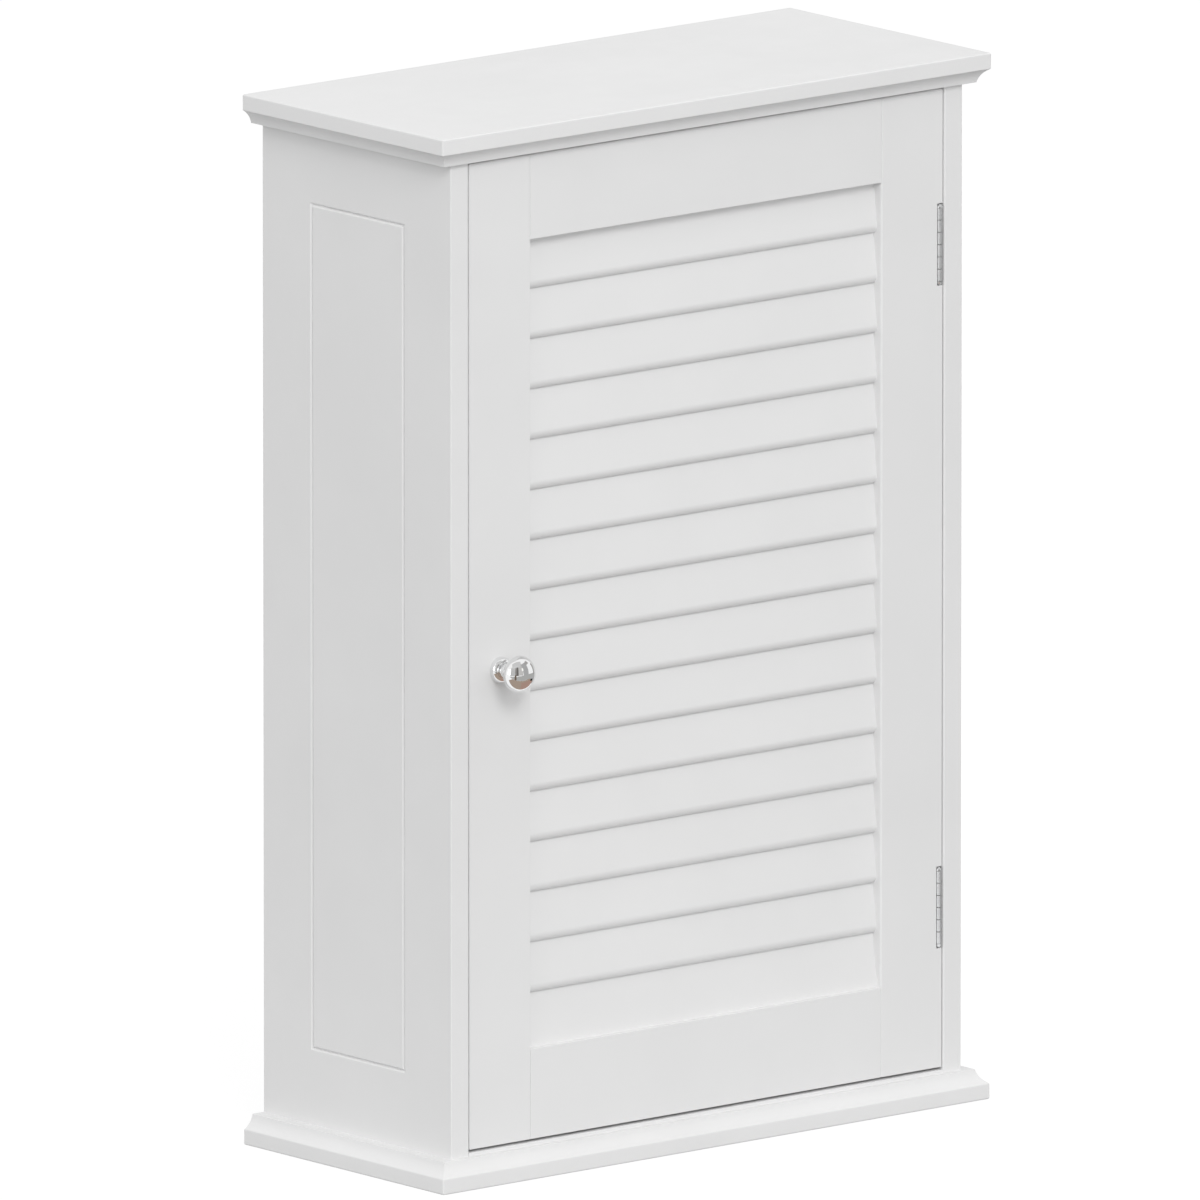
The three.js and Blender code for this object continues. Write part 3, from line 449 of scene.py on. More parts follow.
def surface(name, metallic, colours, colour_noise, roughness, roughness_noise, bumps):
    """A Principled material: each noise is (scale, detail, stretch), each bump (noise, distance)."""
    material = bpy.data.materials.new(name)
    tree = node_tree(material)
    shader = tree.nodes.new("ShaderNodeBsdfPrincipled")
    output = tree.nodes.new("ShaderNodeOutputMaterial")
    shader.inputs["Metallic"].default_value = metallic
    colour = blended(tree, ranged(tree, noise(tree, *colour_noise), 0, 1), *colours)
    gloss = ranged(tree, noise(tree, *roughness_noise), *roughness)
    layers = [(noise(tree, *pattern), distance) for pattern, distance in bumps]
    tree.links.new(colour, shader.inputs["Base Color"])
    tree.links.new(gloss, shader.inputs["Roughness"])
    tree.links.new(bumped(tree, layers), shader.inputs["Normal"])
    tree.links.new(shader.outputs["BSDF"], output.inputs["Surface"])
    return material


MATERIALS = {
    "painted_wood": surface(
        "satin_white_paint", 0, ((0.785, 0.785, 0.785), (0.805, 0.805, 0.805)), (14, 3, EVEN),
        (0.50, 0.64), (60, 3, EVEN),
        [((900, 2, EVEN), 0.012 * MM), ((120, 3, UPRIGHT), 0.02 * MM)]),
    "chrome": surface(
        "polished_chrome", 1, ((0.84, 0.845, 0.85), (0.87, 0.87, 0.87)), (80, 2, EVEN),
        (0.03, 0.07), (200, 3, EVEN), [((60, 1, EVEN), 0.01 * MM)]),
    "hinge_steel": surface(
        "bright_plated_steel", 1, ((0.66, 0.67, 0.68), (0.76, 0.76, 0.77)), (300, 3, UPRIGHT),
        (0.16, 0.28), (900, 3, UPRIGHT), [((1500, 2, UPRIGHT), 0.004 * MM)]),
    "screw_steel": surface(
        "plated_screw_steel", 1, ((0.60, 0.61, 0.62), (0.70, 0.70, 0.70)), (500, 3, EVEN),
        (0.22, 0.38), (900, 3, EVEN), [((1200, 2, EVEN), 0.004 * MM)]),
    "white_plastic": surface(
        "moulded_white_plastic", 0, ((0.84, 0.84, 0.825), (0.87, 0.87, 0.86)), (120, 2, EVEN),
        (0.42, 0.55), (300, 2, EVEN), [((2200, 2, EVEN), 0.006 * MM)]),
    "magnet_steel": surface(
        "dull_magnet", 1, ((0.36, 0.37, 0.38), (0.46, 0.47, 0.48)), (400, 3, EVEN),
        (0.38, 0.5), (700, 3, EVEN), [((1400, 2, EVEN), 0.006 * MM)]),
}


def dress_nodes():
    """Gives each CAD node the material of its slot in the record."""
    for part in frame["record"]["subparts"]:
        node = frame["nodes"][part["node"]]
        for slot in node.material_slots:
            slot.link = "OBJECT"
            slot.material = MATERIALS[part["material_slot"]]


# Case


def cove_points():
    """The moulding's hollow as (setback, rise) from the square edge, centred outside the board."""
    chord = math.hypot(COVE_SETBACK, COVE_HEIGHT)
    away = math.sqrt(COVE_RADIUS ** 2 - (chord / 2) ** 2)
    centre = Vector((
        COVE_SETBACK / 2 - away * COVE_HEIGHT / chord,
        COVE_HEIGHT / 2 + away * COVE_SETBACK / chord,
    ))
    first = math.atan2(-centre.y, -centre.x)
    last = math.atan2(COVE_HEIGHT - centre.y, COVE_SETBACK - centre.x)
    points = []
    for step in range(COVE_STEPS + 1):
        angle = first + (last - first) * step / COVE_STEPS
        points.append(centre + COVE_RADIUS * Vector((math.cos(angle), math.sin(angle))))
    return points


def moulded_board(node, square_face, rise, face_ease, cove_ease):
    """A board with its moulding on three edges, from its square face towards its moulded face."""
    low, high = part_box(node)
    square_edge = BOARD_THICKNESS - COVE_HEIGHT
    cove = [point for point in cove_points()[:-1] if point.length > COVE_EASE_SHARE * cove_ease]
    profile = [(2 * face_ease, 0, 0), (0, 0, face_ease), (0, square_edge, cove_ease)]
    profile += [(point.x, square_edge + point.y, 0) for point in cove]
    profile += [
        (COVE_SETBACK, BOARD_THICKNESS, COVE_RIM_EASE),
        (COVE_SETBACK + COVE_RIM_WIDTH, BOARD_THICKNESS, 0)]
    loops = []
    for inset, height in rounded(profile, closed=False):
        corner = max(BOARD_CORNER - inset, BOARD_CORNER * LEAST_CORNER_SHARE)
        plan = rounded([
            (low.x + inset, low.y + inset, corner), (high.x - inset, low.y + inset, corner),
            (high.x - inset, high.y, 0), (low.x + inset, high.y, 0),
        ])
        loops.append([(x, y, square_face + rise * height) for x, y in plan])
    return skin(loops)


def top_board():
    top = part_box("top_board")[1].z
    board = moulded_board("top_board", top, -1, TOP_FACE_EASE, TOP_COVE_EASE)
    piece("top_board_moulded", board, "carcass", "painted_wood", ["top_board"])


# Screws, drawn with their tip at +Z and their head's face at the origin


def screw_measures(node, heading):
    """The middle of a screw's head, its length and its head's radius, from its box."""
    low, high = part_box(node)
    axis = max(range(3), key=lambda index: abs(heading[index]))
    head = (low + high) / 2
    head[axis] = low[axis] if heading[axis] > 0 else high[axis]
    return head, high[axis] - low[axis], (high - low)[(axis + 1) % 3] / 2


def screw_space(node, heading):
    """The space of a countersunk screw, open above its head."""
    head, length, radius = screw_measures(node, heading)
    wide = radius + SCREW_FIT
    shank = wide * SHANK_SHARE
    outline = [
        (0, length), (shank, length), (shank, wide - shank), (wide, 0), (wide, -OVERRUN), (0, -OVERRUN),
    ]
    return moved(turned(outline, SCREW_SIDES), at(head, heading))


def cross_recess(radius, face):
    """Two crossed slots that narrow downwards, for a driver."""
    reach, half, depth = RECESS_REACH * radius, RECESS_WIDTH * radius / 2, RECESS_DEPTH * radius
    slots = []
    for long_side, short_side in ((reach, half), (half, reach)):
        loops = []
        for z, share in ((face - OVERRUN, 1), (face, 1), (face + depth, RECESS_FLOOR_SHARE)):
            x, y = long_side * share, short_side * share
            loops.append([(x, y, z), (-x, y, z), (-x, -y, z), (x, -y, z)])
        slots.append(skin(loops))
    return slots


def countersunk_screw(node, body, heading):
    head, length, radius = screw_measures(node, heading)
    shank = radius * SHANK_SHARE
    outline = rounded([
        (0, 0, 0), (radius, 0, radius * HEAD_RIM_SHARE),
        (shank, radius - shank, radius * HEAD_THROAT_SHARE),
        (shank, length - SCREW_TIP_LENGTH, 0), (radius * TIP_SHARE, length, 0), (0, length, 0),
    ], closed=False)
    shapes = [turned(outline, SCREW_SIDES), *cross_recess(radius, 0)]
    placed = [moved(shape, at(head, heading)) for shape in shapes]
    piece(f"{node}_turned", placed[0], body, "screw_steel", [node], cutters=placed[1:])


def knob_screw():
    """A pan head screw through the stile from the back."""
    forward = (0, -1, 0)
    head, length, radius = screw_measures("knob_screw", forward)
    shank = radius * SHANK_SHARE
    outline = rounded([
        (0, 0, 0), (radius * KNOB_SCREW_FACE, 0, radius * KNOB_SCREW_FACE_EASE),
        (radius, KNOB_SCREW_HEAD_HEIGHT * KNOB_SCREW_SIDE, radius * KNOB_SCREW_SIDE_EASE),
        (radius, KNOB_SCREW_HEAD_HEIGHT, 0), (shank, KNOB_SCREW_HEAD_HEIGHT, 0), (shank, length, 0),
        (0, length, 0),
    ], closed=False)
    shapes = [turned(outline, SCREW_SIDES), *cross_recess(radius, 0)]
    placed = [moved(shape, at(head, forward)) for shape in shapes]
    piece("knob_screw_turned", placed[0], "door", "screw_steel", ["knob_screw"], cutters=placed[1:])


# Case boards and panels


def bottom_board():
    low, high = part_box("bottom_board")
    panel_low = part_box("left_side_panel")
    panel_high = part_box("right_side_panel")
    back_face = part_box("back_panel")[0].y
    board = moulded_board("bottom_board", low.z, 1, UNDERSIDE_EASE, BOTTOM_COVE_EASE)
    floor = block(
        (panel_low[1].x, panel_low[0].y, BOARD_THICKNESS - OVERRUN),
        (panel_high[0].x, back_face, high.z), ends=(0, RAISED_FLOOR_EASE))
    sinks = [
        screw_space(f"bottom_screw_{side}_{end}", (0, 0, 1))
        for side in ("left", "right") for end in ("front", "back")
    ]
    piece("bottom_board_moulded", joined([board, floor]), "carcass", "painted_wood",
          ["bottom_board"], cutters=sinks)


def trim_groove(panel_low, panel_high, outer_face, inward):
    """A V groove with mitred corners that frames a side panel's outer face."""
    y_low = panel_low.y + TRIM_GROOVE_FRONT_MARGIN
    y_high = panel_high.y - TRIM_GROOVE_BACK_MARGIN
    z_low = BOARD_THICKNESS + TRIM_GROOVE_BOTTOM_MARGIN
    z_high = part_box("top_board")[0].z - TRIM_GROOVE_TOP_MARGIN

    def loop(spread, depth):
        x = outer_face + inward * depth
        return [
            (x, y_low - spread, z_low - spread), (x, y_high + spread, z_low - spread),
            (x, y_high + spread, z_high + spread), (x, y_low - spread, z_high + spread),
        ]

    mouth = TRIM_GROOVE_WIDTH / 2 * (1 + OVERRUN / TRIM_GROOVE_DEPTH)
    return skin([loop(mouth, -OVERRUN), loop(-mouth, -OVERRUN), loop(0, TRIM_GROOVE_DEPTH)], ring=True)


def shelf_pin_holes(side, inner_face):
    pins = [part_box(f"shelf_pin_{side}_{end}") for end in ("front", "back")]
    shelf_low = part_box("shelf")[0]
    plug_z = shelf_low.z - SHELF_PIN_LEDGE_THICKNESS - SHELF_PIN_RADIUS
    outward = 1 if side == "right" else -1
    holes = []
    for row in range(SHELF_ROW_COUNT):
        z = plug_z + (row - (SHELF_ROW_COUNT - 1) / 2) * SHELF_ROW_SPACING
        for low, high in pins:
            start = (inner_face - outward * OVERRUN, (low.y + high.y) / 2, z)
            outline = [
                (0, 0), (SHELF_PIN_RADIUS, 0), (SHELF_PIN_RADIUS, SHELF_PIN_HOLE_DEPTH + OVERRUN),
                (0, SHELF_PIN_HOLE_DEPTH + OVERRUN),
            ]
            holes.append(moved(turned(outline, SCREW_SIDES), at(start, (outward, 0, 0))))
    return holes


def case_leaf_recesses(inner_face):
    """The recesses of the case leaves in the right panel, behind its front edge."""
    cuts = []
    front = hinge_axis().y + KNUCKLE_RADIUS - LEAF_THICKNESS - PIN_FIT
    for name in ("upper", "lower"):
        low, high = barrel_ends(name)
        leaf_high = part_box(f"{name}_hinge_case_leaf")[1]
        cuts.append(block(
            (inner_face - OVERRUN, front, low - PIN_FIT),
            (inner_face + LEAF_THICKNESS, leaf_high.y + PIN_FIT, high + PIN_FIT)))
    return cuts


def side_panel(side):
    node = f"{side}_side_panel"
    low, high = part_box(node)
    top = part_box("top_board")[0].z
    back_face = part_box("back_panel")[0].y
    if side == "left":
        outer, inner, inward = low.x, high.x, 1
        radii = (PANEL_EASE, PANEL_INNER_EASE, 0, PANEL_BACK_EASE)
    else:
        outer, inner, inward = high.x, low.x, -1
        radii = (PANEL_INNER_EASE, PANEL_EASE, PANEL_BACK_EASE, 0)
    panel = block(low, (high.x, high.y, top), radii=radii)
    rebate_edges = sorted((inner + inward * OVERRUN, inner - inward * BACK_REBATE))
    rebate = block(
        (rebate_edges[0], back_face, low.z - OVERRUN), (rebate_edges[1], high.y + OVERRUN, top + OVERRUN))
    cutters = [rebate, trim_groove(low, high, outer, inward), *shelf_pin_holes(side, inner)]
    if side == "right":
        cutters += case_leaf_recesses(inner)
    piece(f"{side}_panel_eased", panel, "carcass", "painted_wood", [node], cutters=cutters)


# Door


def stile(side):
    node = f"door_stile_{side}"
    low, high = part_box(node)
    if side == "left":
        radii = (DOOR_EASE, LEFT_OPENING_EASE, DOOR_EASE, DOOR_EASE)
    else:
        radii = (RIGHT_OPENING_EASE, DOOR_HINGE_EASE, DOOR_HINGE_EASE, DOOR_EASE)
    cutters = hinge_cuts() if side == "right" else []
    piece(f"stile_{side}_eased", block(low, high, radii=radii, ends=(DOOR_BOTTOM_EASE, DOOR_TOP_EASE)),
          "door", "painted_wood", [node], cutters=cutters)


def rail(end):
    node = f"door_rail_{end}"
    low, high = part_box(node)
    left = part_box("door_stile_left")[1].x
    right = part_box("door_stile_right")[0].x
    if end == "top":
        lower, upper = TOP_RAIL_EASE, DOOR_TOP_EASE
    else:
        lower, upper = DOOR_BOTTOM_EASE, BOTTOM_RAIL_EASE
    shape = block(
        (left, low.y, low.z), (right, high.y, high.z), axis="x",
        radii=(lower, DOOR_EASE, DOOR_EASE, upper), ends=(JOINT_EASE, JOINT_EASE))
    piece(f"rail_{end}_eased", shape, "door", "painted_wood", [node])


def slat_pitch():
    """The rise from slat to slat, without the lowest, whose foot is cut short."""
    lowest_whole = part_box(f"slat_{SLAT_COUNT - 1:02d}")
    return (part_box("slat_01")[0].z - lowest_whole[0].z) / (SLAT_COUNT - 2)


def slat(number):
    """A slat between the stiles, leaning back. Its lip curves back to a sharp lower edge."""
    node = f"slat_{number:02d}"
    low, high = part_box(node)
    tilt = math.asin((SLAT_THICKNESS + SLAT_LAP_GAP) / slat_pitch())
    across = Vector((math.cos(tilt), -math.sin(tilt)))
    along = Vector((math.sin(tilt), math.cos(tilt)))
    corner_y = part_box("door_stile_left")[0].y + SLAT_SETBACK
    if number == SLAT_COUNT:
        corner_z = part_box(f"slat_{number - 1:02d}")[0].z + SLAT_THICKNESS * math.sin(tilt) - slat_pitch()
        foot = (corner_z - SLAT_THICKNESS * math.sin(tilt) - low.z) / math.cos(tilt)
        lower = [(0, -foot, 0), (SLAT_THICKNESS, -foot, 0)]
    else:
        corner_z = low.z + SLAT_THICKNESS * math.sin(tilt)
        lip_turn = math.acos(1 - SLAT_LIP_DEPTH / SLAT_LIP_RADIUS)
        lip = [
            (SLAT_LIP_RADIUS * (1 - math.cos(turn)),
             SLAT_LIP_RADIUS * (math.sin(lip_turn) - math.sin(turn)), 0)
            for turn in (lip_turn * step / SLAT_LIP_STEPS for step in range(SLAT_LIP_STEPS))
        ]
        lower = [*lip, (SLAT_LIP_DEPTH, 0, SLAT_LIP_EASE), (SLAT_THICKNESS, 0, SLAT_BACK_EASE)]
    height = (high.z - corner_z) / math.cos(tilt)
    section = rounded([(0, height, 0), *lower, (SLAT_THICKNESS, height, 0)])
    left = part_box("door_stile_left")[1].x - SLAT_HOUSING
    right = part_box("door_stile_right")[0].x + SLAT_HOUSING
    loops = []
    for x in (left, right):
        points = [across * point.x + along * point.y for point in section]
        loops.append([(x, corner_y + point.x, corner_z + point.y) for point in points])
    piece(f"slat_{number:02d}_lipped", skin(loops), "door", "painted_wood", [node])


# Hinges


def hinge_axis():
    return Vector(frame["joints"][0]["pos_m"])


def barrel_ends(name):
    low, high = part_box(f"{name}_hinge_pin")
    return low.z + PIN_CAP_HEIGHT, high.z - PIN_CAP_HEIGHT


def hinge_cuts():
    """The notches round the barrels and the recesses of the leaves in the hinge stile."""
    cuts = []
    axis = hinge_axis()
    for name in ("upper", "lower"):
        low, high = barrel_ends(name)
        radius = KNUCKLE_RADIUS + NOTCH_CLEARANCE
        reach = PIN_CAP_HEIGHT + NOTCH_CLEARANCE
        notch = turned([(0, low - reach), (radius, low - reach), (radius, high + reach), (0, high + reach)])
        cuts.append(moved(notch, Matrix.Translation((axis.x, axis.y, 0))))
        leaf_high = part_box(f"{name}_hinge_door_leaf")[1]
        stile_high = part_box("door_stile_right")[1]
        cuts.append(block(
            (axis.x, axis.y - OVERRUN, low - reach),
            (stile_high.x + OVERRUN, axis.y + radius, high + reach)))
        cuts.append(block(
            (stile_high.x - LEAF_THICKNESS, axis.y - OVERRUN, low - PIN_FIT),
            (stile_high.x + OVERRUN, leaf_high.y + PIN_FIT, high + PIN_FIT)))
    return cuts


def knuckle(low, high):
    """A bored knuckle with eased ends, about Z."""
    bore = PIN_RADIUS + PIN_CLEARANCE
    outline = rounded([
        (bore, low, 0), (KNUCKLE_RADIUS, low, TURNED_EASE), (KNUCKLE_RADIUS, high, TURNED_EASE),
        (bore, high, 0),
    ])
    sides = TURNED_SIDES
    loops = [
        [(r * math.cos(math.tau * k / sides), r * math.sin(math.tau * k / sides), z) for k in range(sides)]
        for r, z in outline
    ]
    return skin(loops, ring=True)


def hinge_leaf(name, part, first_knuckle):
    """A leaf's plate with every second knuckle, each on a web behind the barrel."""
    node = f"{name}_hinge_{part}_leaf"
    node_low, node_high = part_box(node)
    axis = hinge_axis()
    low, high = barrel_ends(name)
    pitch = (high - low) / KNUCKLE_COUNT
    plate_high = node_high.x if part == "case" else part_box("door_stile_right")[1].x
    plate = block(
        (plate_high - LEAF_THICKNESS, axis.y + KNUCKLE_RADIUS + NOTCH_CLEARANCE, low),
        (plate_high, node_high.y, high), axis="x", radii=(0, LEAF_CORNER, LEAF_CORNER, 0))
    shapes = [plate]
    for index in range(first_knuckle, KNUCKLE_COUNT, 2):
        start = low + index * pitch + KNUCKLE_GAP / 2
        end = start + pitch - KNUCKLE_GAP
        shapes.append(moved(knuckle(start, end), Matrix.Translation((axis.x, axis.y, 0))))
        web_front = axis.y + KNUCKLE_RADIUS - LEAF_THICKNESS
        shapes.append(block(
            (axis.x, web_front, start), (plate_high, axis.y + KNUCKLE_RADIUS, end)))
        shapes.append(block(
            (plate_high - LEAF_THICKNESS, web_front, start),
            (plate_high, axis.y + KNUCKLE_RADIUS + 2 * NOTCH_CLEARANCE, end)))
    body, inward = ("carcass", (1, 0, 0)) if part == "case" else ("door", (-1, 0, 0))
    screws = [f"{name}_hinge_{part}_screw_{end}" for end in ("top", "bottom")]
    piece(f"{name}_{part}_leaf_rolled", joined(shapes), body, "hinge_steel", [node],
          cutters=[screw_space(screw, inward) for screw in screws])
    for screw in screws:
        countersunk_screw(screw, body, inward)


def hinge_pin(name):
    low, high = barrel_ends(name)
    axis = hinge_axis()
    cap = [
        (KNUCKLE_RADIUS * math.cos(turn), PIN_CAP_HEIGHT * math.sin(turn))
        for turn in (math.pi / 2 * step / PIN_CAP_STEPS for step in range(PIN_CAP_STEPS + 1))
    ]
    outline = [(radius, low - height) for radius, height in reversed(cap)]
    outline += [(PIN_RADIUS, low), (PIN_RADIUS, high)]
    outline += [(radius, high + height) for radius, height in cap]
    shape = moved(turned(outline), Matrix.Translation((axis.x, axis.y, 0)))
    piece(f"{name}_pin_turned", shape, "carcass", "hinge_steel", [f"{name}_hinge_pin"])


# Knob


def knob():
    """A turned mushroom knob: a rounded foot, a neck and a domed head."""
    low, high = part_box("knob")
    place = ((low.x + high.x) / 2, high.y, (low.z + high.z) / 2)
    projection = high.y - low.y
    turns = [math.pi / 2 * step / KNOB_STEPS for step in range(KNOB_STEPS + 1)]
    foot = [
        (KNOB_NECK_RADIUS + (KNOB_FOOT_RADIUS - KNOB_NECK_RADIUS) * math.cos(turn),
         KNOB_FOOT_EDGE + (KNOB_FOOT_THICKNESS - KNOB_FOOT_EDGE) * math.sin(turn))
        for turn in turns
    ]
    flare = [
        (KNOB_NECK_RADIUS + (KNOB_HEAD_RADIUS - KNOB_NECK_RADIUS) * math.sin(turn) ** 2,
         KNOB_NECK_PLANE + (KNOB_HEAD_PLANE - KNOB_NECK_PLANE) * turn / (math.pi / 2))
        for turn in turns
    ]
    dome = [
        (KNOB_HEAD_RADIUS * math.cos(turn),
         KNOB_HEAD_PLANE + (projection - KNOB_HEAD_PLANE) * math.sin(turn))
        for turn in turns
    ]
    outline = [(0, 0), (KNOB_FOOT_RADIUS, 0), *foot, *flare, *dome[1:]]
    shape = moved(turned(outline, KNOB_SIDES), at(place, (0, -1, 0)))
    piece("knob_turned", shape, "door", "chrome", ["knob"])


# Stage


def light_ray(tree, *kinds):
    """1 for the kinds of ray that are named, such as Is Camera Ray, and 0 for the others."""
    path = tree.nodes.new("ShaderNodeLightPath")
    total = None
    for kind in kinds:
        output = path.outputs[kind]
        if total:
            most = tree.nodes.new("ShaderNodeMath")
            most.operation = "MAXIMUM"
            tree.links.new(total, most.inputs[0])
            tree.links.new(output, most.inputs[1])
            output = most.outputs[0]
        total = output
    return total


SEEN_RAYS = ("Is Camera Ray", "Is Glossy Ray", "Is Transmission Ray")

# Light and floor
AMBIENT_STRENGTH = 0.808
FLOOR_RADIUS = 8.0
FLOOR_SIDES = 96
FLOOR_GLOW = 0.86
FLOOR_SHADE = 0.18
FLOOR_BOUNCE = 0.3
FLOOR_LIGHT = 0.19
FLOOR_LIGHT_INNER = 0.25
FLOOR_LIGHT_OUTER = 0.9

# Level cards, whose corners are in metres
LOW_CARD_HEIGHT = 1 * MM
NEAR_CARD_HEIGHT = 135 * MM
BROWN_CARD_HEIGHT = NEAR_CARD_HEIGHT + 0.5 * MM
LOW_CARD_GREY = (0.45, 0.45, 0.44)


def white_world():
    world = bpy.data.worlds.new("studio")
    bpy.context.scene.world = world
    world.use_nodes = True
    tree = world.node_tree
    tree.nodes.clear()
    ambient = tree.nodes.new("ShaderNodeBackground")
    ambient.inputs["Strength"].default_value = AMBIENT_STRENGTH
    seen = tree.nodes.new("ShaderNodeBackground")
    for background in (ambient, seen):
        background.inputs["Color"].default_value = (1, 1, 1, 1)
    mix = tree.nodes.new("ShaderNodeMixShader")
    output = tree.nodes.new("ShaderNodeOutputWorld")
    tree.links.new(light_ray(tree, *SEEN_RAYS), mix.inputs["Fac"])
    tree.links.new(ambient.outputs[0], mix.inputs[1])
    tree.links.new(seen.outputs[0], mix.inputs[2])
    tree.links.new(mix.outputs[0], output.inputs["Surface"])


def pale_floor():
    """A round pale floor that looks white and keeps the cabinet's soft shadow.

    It lights the cabinet's foot by its bounce and by a light that fades away from the middle.
    """
    material = bpy.data.materials.new("pale_floor")
    tree = node_tree(material)
    bounce = tree.nodes.new("ShaderNodeBsdfDiffuse")
    bounce.inputs["Color"].default_value = (FLOOR_BOUNCE, FLOOR_BOUNCE, FLOOR_BOUNCE, 1)
    place = tree.nodes.new("ShaderNodeTexCoord")
    away = tree.nodes.new("ShaderNodeVectorMath")
    away.operation = "LENGTH"
    fade = tree.nodes.new("ShaderNodeMapRange")
    fade.inputs["From Min"].default_value = FLOOR_LIGHT_INNER
    fade.inputs["From Max"].default_value = FLOOR_LIGHT_OUTER
    fade.inputs["To Min"].default_value = FLOOR_LIGHT
    fade.inputs["To Max"].default_value = 0
    near = tree.nodes.new("ShaderNodeEmission")
    lighting = tree.nodes.new("ShaderNodeAddShader")
    tree.links.new(place.outputs["Object"], away.inputs[0])
    tree.links.new(away.outputs["Value"], fade.inputs["Value"])
    tree.links.new(fade.outputs["Result"], near.inputs["Strength"])
    tree.links.new(bounce.outputs[0], lighting.inputs[0])
    tree.links.new(near.outputs[0], lighting.inputs[1])
    shade = tree.nodes.new("ShaderNodeBsdfDiffuse")
    shade.inputs["Color"].default_value = (FLOOR_SHADE, FLOOR_SHADE, FLOOR_SHADE, 1)
    glow = tree.nodes.new("ShaderNodeEmission")
    glow.inputs["Color"].default_value = (1, 1, 1, 1)
    glow.inputs["Strength"].default_value = FLOOR_GLOW
    total = tree.nodes.new("ShaderNodeAddShader")
    mix = tree.nodes.new("ShaderNodeMixShader")
    output = tree.nodes.new("ShaderNodeOutputMaterial")
    tree.links.new(glow.outputs[0], total.inputs[0])
    tree.links.new(shade.outputs[0], total.inputs[1])
    tree.links.new(light_ray(tree, *SEEN_RAYS), mix.inputs["Fac"])
    tree.links.new(lighting.outputs[0], mix.inputs[1])
    tree.links.new(total.outputs[0], mix.inputs[2])
    tree.links.new(mix.outputs[0], output.inputs["Surface"])
    shape = bmesh.new()
    bmesh.ops.create_circle(shape, cap_ends=True, segments=FLOOR_SIDES, radius=FLOOR_RADIUS)
    ground = shape_object("floor", shape)
    ground.data.materials.append(material)


def direction(azimuth, elevation):
    """The direction from the cabinet towards a place round it: azimuth 0 is in front of the door."""
    return Vector((
        math.sin(azimuth) * math.cos(elevation),
        -math.cos(azimuth) * math.cos(elevation),
        math.sin(elevation),
    ))


def soft_lamp(name, azimuth_degrees, elevation_degrees, distance, size, power):
    """A square area lamp that faces the cabinet's middle."""
    lamp = bpy.data.lights.new(name, "AREA")
    lamp.size = size
    lamp.energy = power
    holder = bpy.data.objects.new(name, lamp)
    away = direction(math.radians(azimuth_degrees), math.radians(elevation_degrees))
    middle = Vector((0, 0, (cad_box[0][2] + cad_box[1][2]) / 2))
    holder.location = middle + away * distance
    holder.rotation_euler = (-away).to_track_quat("-Z", "Y").to_euler()
    bpy.context.scene.collection.objects.link(holder)


def studio_lamps():
    """The lamps, each from an azimuth and an elevation at a distance, with its size and power."""
    soft_lamp("key", -27, 35, 5.0, 1.67, 74)
    soft_lamp("front_fill", -10, 10, 5.0, 2.5, 20)
    soft_lamp("left_fill", -80, 15, 5.0, 2.5, 23)


def card(name, place, size, colour):
    """A studio card that only reflections show, as what gives polished metal its darker bands."""
    material = bpy.data.materials.new(name)
    tree = node_tree(material)
    shade = tree.nodes.new("ShaderNodeEmission")
    output = tree.nodes.new("ShaderNodeOutputMaterial")
    shade.inputs["Color"].default_value = (*colour, 1)
    tree.links.new(shade.outputs[0], output.inputs["Surface"])
    shape = bmesh.new()
    bmesh.ops.create_grid(shape, x_segments=1, y_segments=1, size=0.5)
    sheet = shape_object(name, moved(shape, place @ Matrix.Diagonal((*size, 1, 1))))
    sheet.data.materials.append(material)
    sheet.visible_camera = False
    sheet.visible_diffuse = False
    sheet.visible_transmission = False
    sheet.visible_shadow = False


def upright_card(name, azimuth_degrees, elevation_degrees, distance, size, colour):
    """A card that faces the knob from a direction and a distance."""
    away = direction(math.radians(azimuth_degrees), math.radians(elevation_degrees))
    low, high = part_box("knob")
    turn = away.to_track_quat("Z", "Y").to_matrix().to_4x4()
    card(name, Matrix.Translation((low + high) / 2 + away * distance) @ turn, size, colour)


def level_card(name, low, high, height, colour):
    """A level card between two corners, each (x, y), at a height above the floor."""
    middle = ((low[0] + high[0]) / 2, (low[1] + high[1]) / 2, height)
    card(name, Matrix.Translation(middle), (high[0] - low[0], high[1] - low[1]), colour)


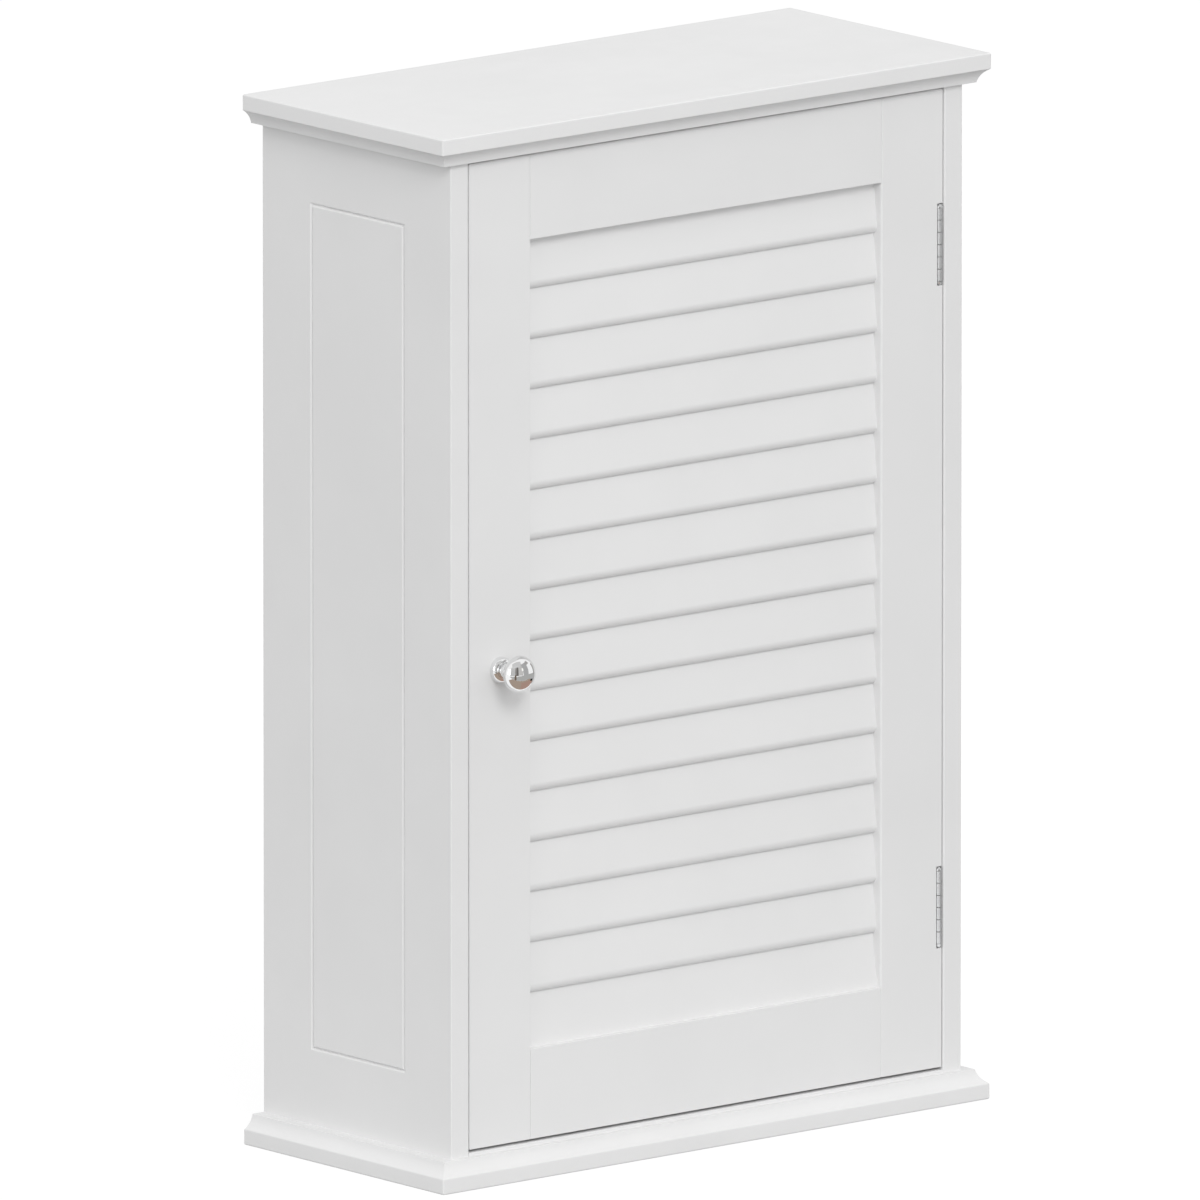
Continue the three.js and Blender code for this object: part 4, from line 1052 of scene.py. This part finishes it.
def studio_cards():
    """What the chrome knob and the hinges mirror: each upright card by azimuth, elevation and distance."""
    upright_card("grey_front", 3, 20, 2.80, (1.46, 3.64), (0.58, 0.57, 0.56))
    upright_card("grey_high", -25, 57, 2.00, (1.9, 1.36), (0.64, 0.64, 0.64))
    upright_card("bright_patch", 15, 19, 1.80, (0.26, 0.40), (1.1, 1.1, 1.05))
    upright_card("dark_upright", -15, 12, 2.70, (0.58, 2.77), (0.17, 0.16, 0.15))
    upright_card("grey_left", -25, 12, 2.75, (0.61, 2.75), (0.32, 0.31, 0.30))
    upright_card("pale_left", -49, 16, 2.85, (1.75, 2.92), (0.56, 0.56, 0.56))
    upright_card("grey_right", 32, 18, 1.95, (0.97, 2.0), (0.44, 0.44, 0.44))
    upright_card("grey_right_high", 58, 37, 1.95, (0.85, 0.50), (0.42, 0.41, 0.40))
    upright_card("dark_side", 84, 5, 1.00, (0.22, 0.52), (0.34, 0.33, 0.32))
    upright_card("dark_near", -27, -16, 0.50, (0.10, 0.26), (0.17, 0.13, 0.10))
    upright_card("dark_spot", 70, -24, 0.36, (0.10, 0.05), (0.02, 0.02, 0.02))
    level_card("warm_near", (-0.47, -0.375), (0.20, -0.12), NEAR_CARD_HEIGHT, (0.40, 0.32, 0.26))
    level_card("brown_near", (-0.11, -0.30), (0.16, -0.12), BROWN_CARD_HEIGHT, (0.42, 0.28, 0.23))
    level_card("grey_low", (-1.50, -1.65), (0.20, -0.62), LOW_CARD_HEIGHT, LOW_CARD_GREY)
    level_card("grey_low_left", (-1.90, -1.20), (-1.50, -0.62), LOW_CARD_HEIGHT, LOW_CARD_GREY)
    level_card("grey_low_far", (-0.60, -2.20), (0.20, -1.65), LOW_CARD_HEIGHT, LOW_CARD_GREY)
    level_card("grey_low_right", (0.20, -2.60), (2.60, -0.62), LOW_CARD_HEIGHT, LOW_CARD_GREY)
    level_card("grey_low_side", (0.35, -0.62), (2.60, 1.20), LOW_CARD_HEIGHT, (0.45, 0.45, 0.45))


def camera():
    """The photograph's view: its middle pixel looks past the cabinet's middle by MIDDLE_PIXEL."""
    data = bpy.data.cameras.new("camera")
    data.lens = CAMERA_LENS_MM
    data.sensor_width = CAMERA_SENSOR_MM
    distance = CAMERA_LENS_MM / CAMERA_SENSOR_MM * PHOTO_PIXELS / PHOTO_PIXELS_PER_METRE
    data.clip_end = 10 * distance
    holder = bpy.data.objects.new("camera", data)
    back = direction(CAMERA_AZIMUTH, CAMERA_ELEVATION)
    right = Vector((math.cos(CAMERA_AZIMUTH), math.sin(CAMERA_AZIMUTH), 0))
    up = back.cross(right)
    middle = Vector((0, 0, (cad_box[0][2] + cad_box[1][2]) / 2))
    across = (MIDDLE_PIXEL[0] - PHOTO_PIXELS / 2) / PHOTO_PIXELS_PER_METRE
    down = (MIDDLE_PIXEL[1] - PHOTO_PIXELS / 2) / PHOTO_PIXELS_PER_METRE
    holder.location = middle - right * across + up * down + back * distance
    holder.rotation_euler = (-back).to_track_quat("-Z", "Y").to_euler()
    bpy.context.scene.collection.objects.link(holder)
    bpy.context.scene.camera = holder


# The whole scene

camera()
dress_nodes()
top_board()
bottom_board()
for panel_side in ("left", "right"):
    side_panel(panel_side)
    stile(panel_side)
for rail_end in ("top", "bottom"):
    rail(rail_end)
for slat_number in range(1, SLAT_COUNT + 1):
    slat(slat_number)
for hinge_name in ("upper", "lower"):
    hinge_leaf(hinge_name, "case", 0)
    hinge_leaf(hinge_name, "door", 1)
    hinge_pin(hinge_name)
knob()
knob_screw()
for board_side in ("left", "right"):
    for board_end in ("front", "back"):
        countersunk_screw(f"bottom_screw_{board_side}_{board_end}", "carcass", (0, 0, 1))
        ease_node(f"shelf_pin_{board_side}_{board_end}", SHELF_PIN_EASE)
for ear in ("top", "bottom"):
    countersunk_screw(f"catch_screw_{ear}", "carcass", (-1, 0, 0))
countersunk_screw("strike_screw", "door", (0, -1, 0))
for node_name, node_ease in NODE_EASES.items():
    ease_node(node_name, node_ease)
white_world()
pale_floor()
studio_lamps()
studio_cards()
bpy.context.scene.view_settings.view_transform = "Standard"
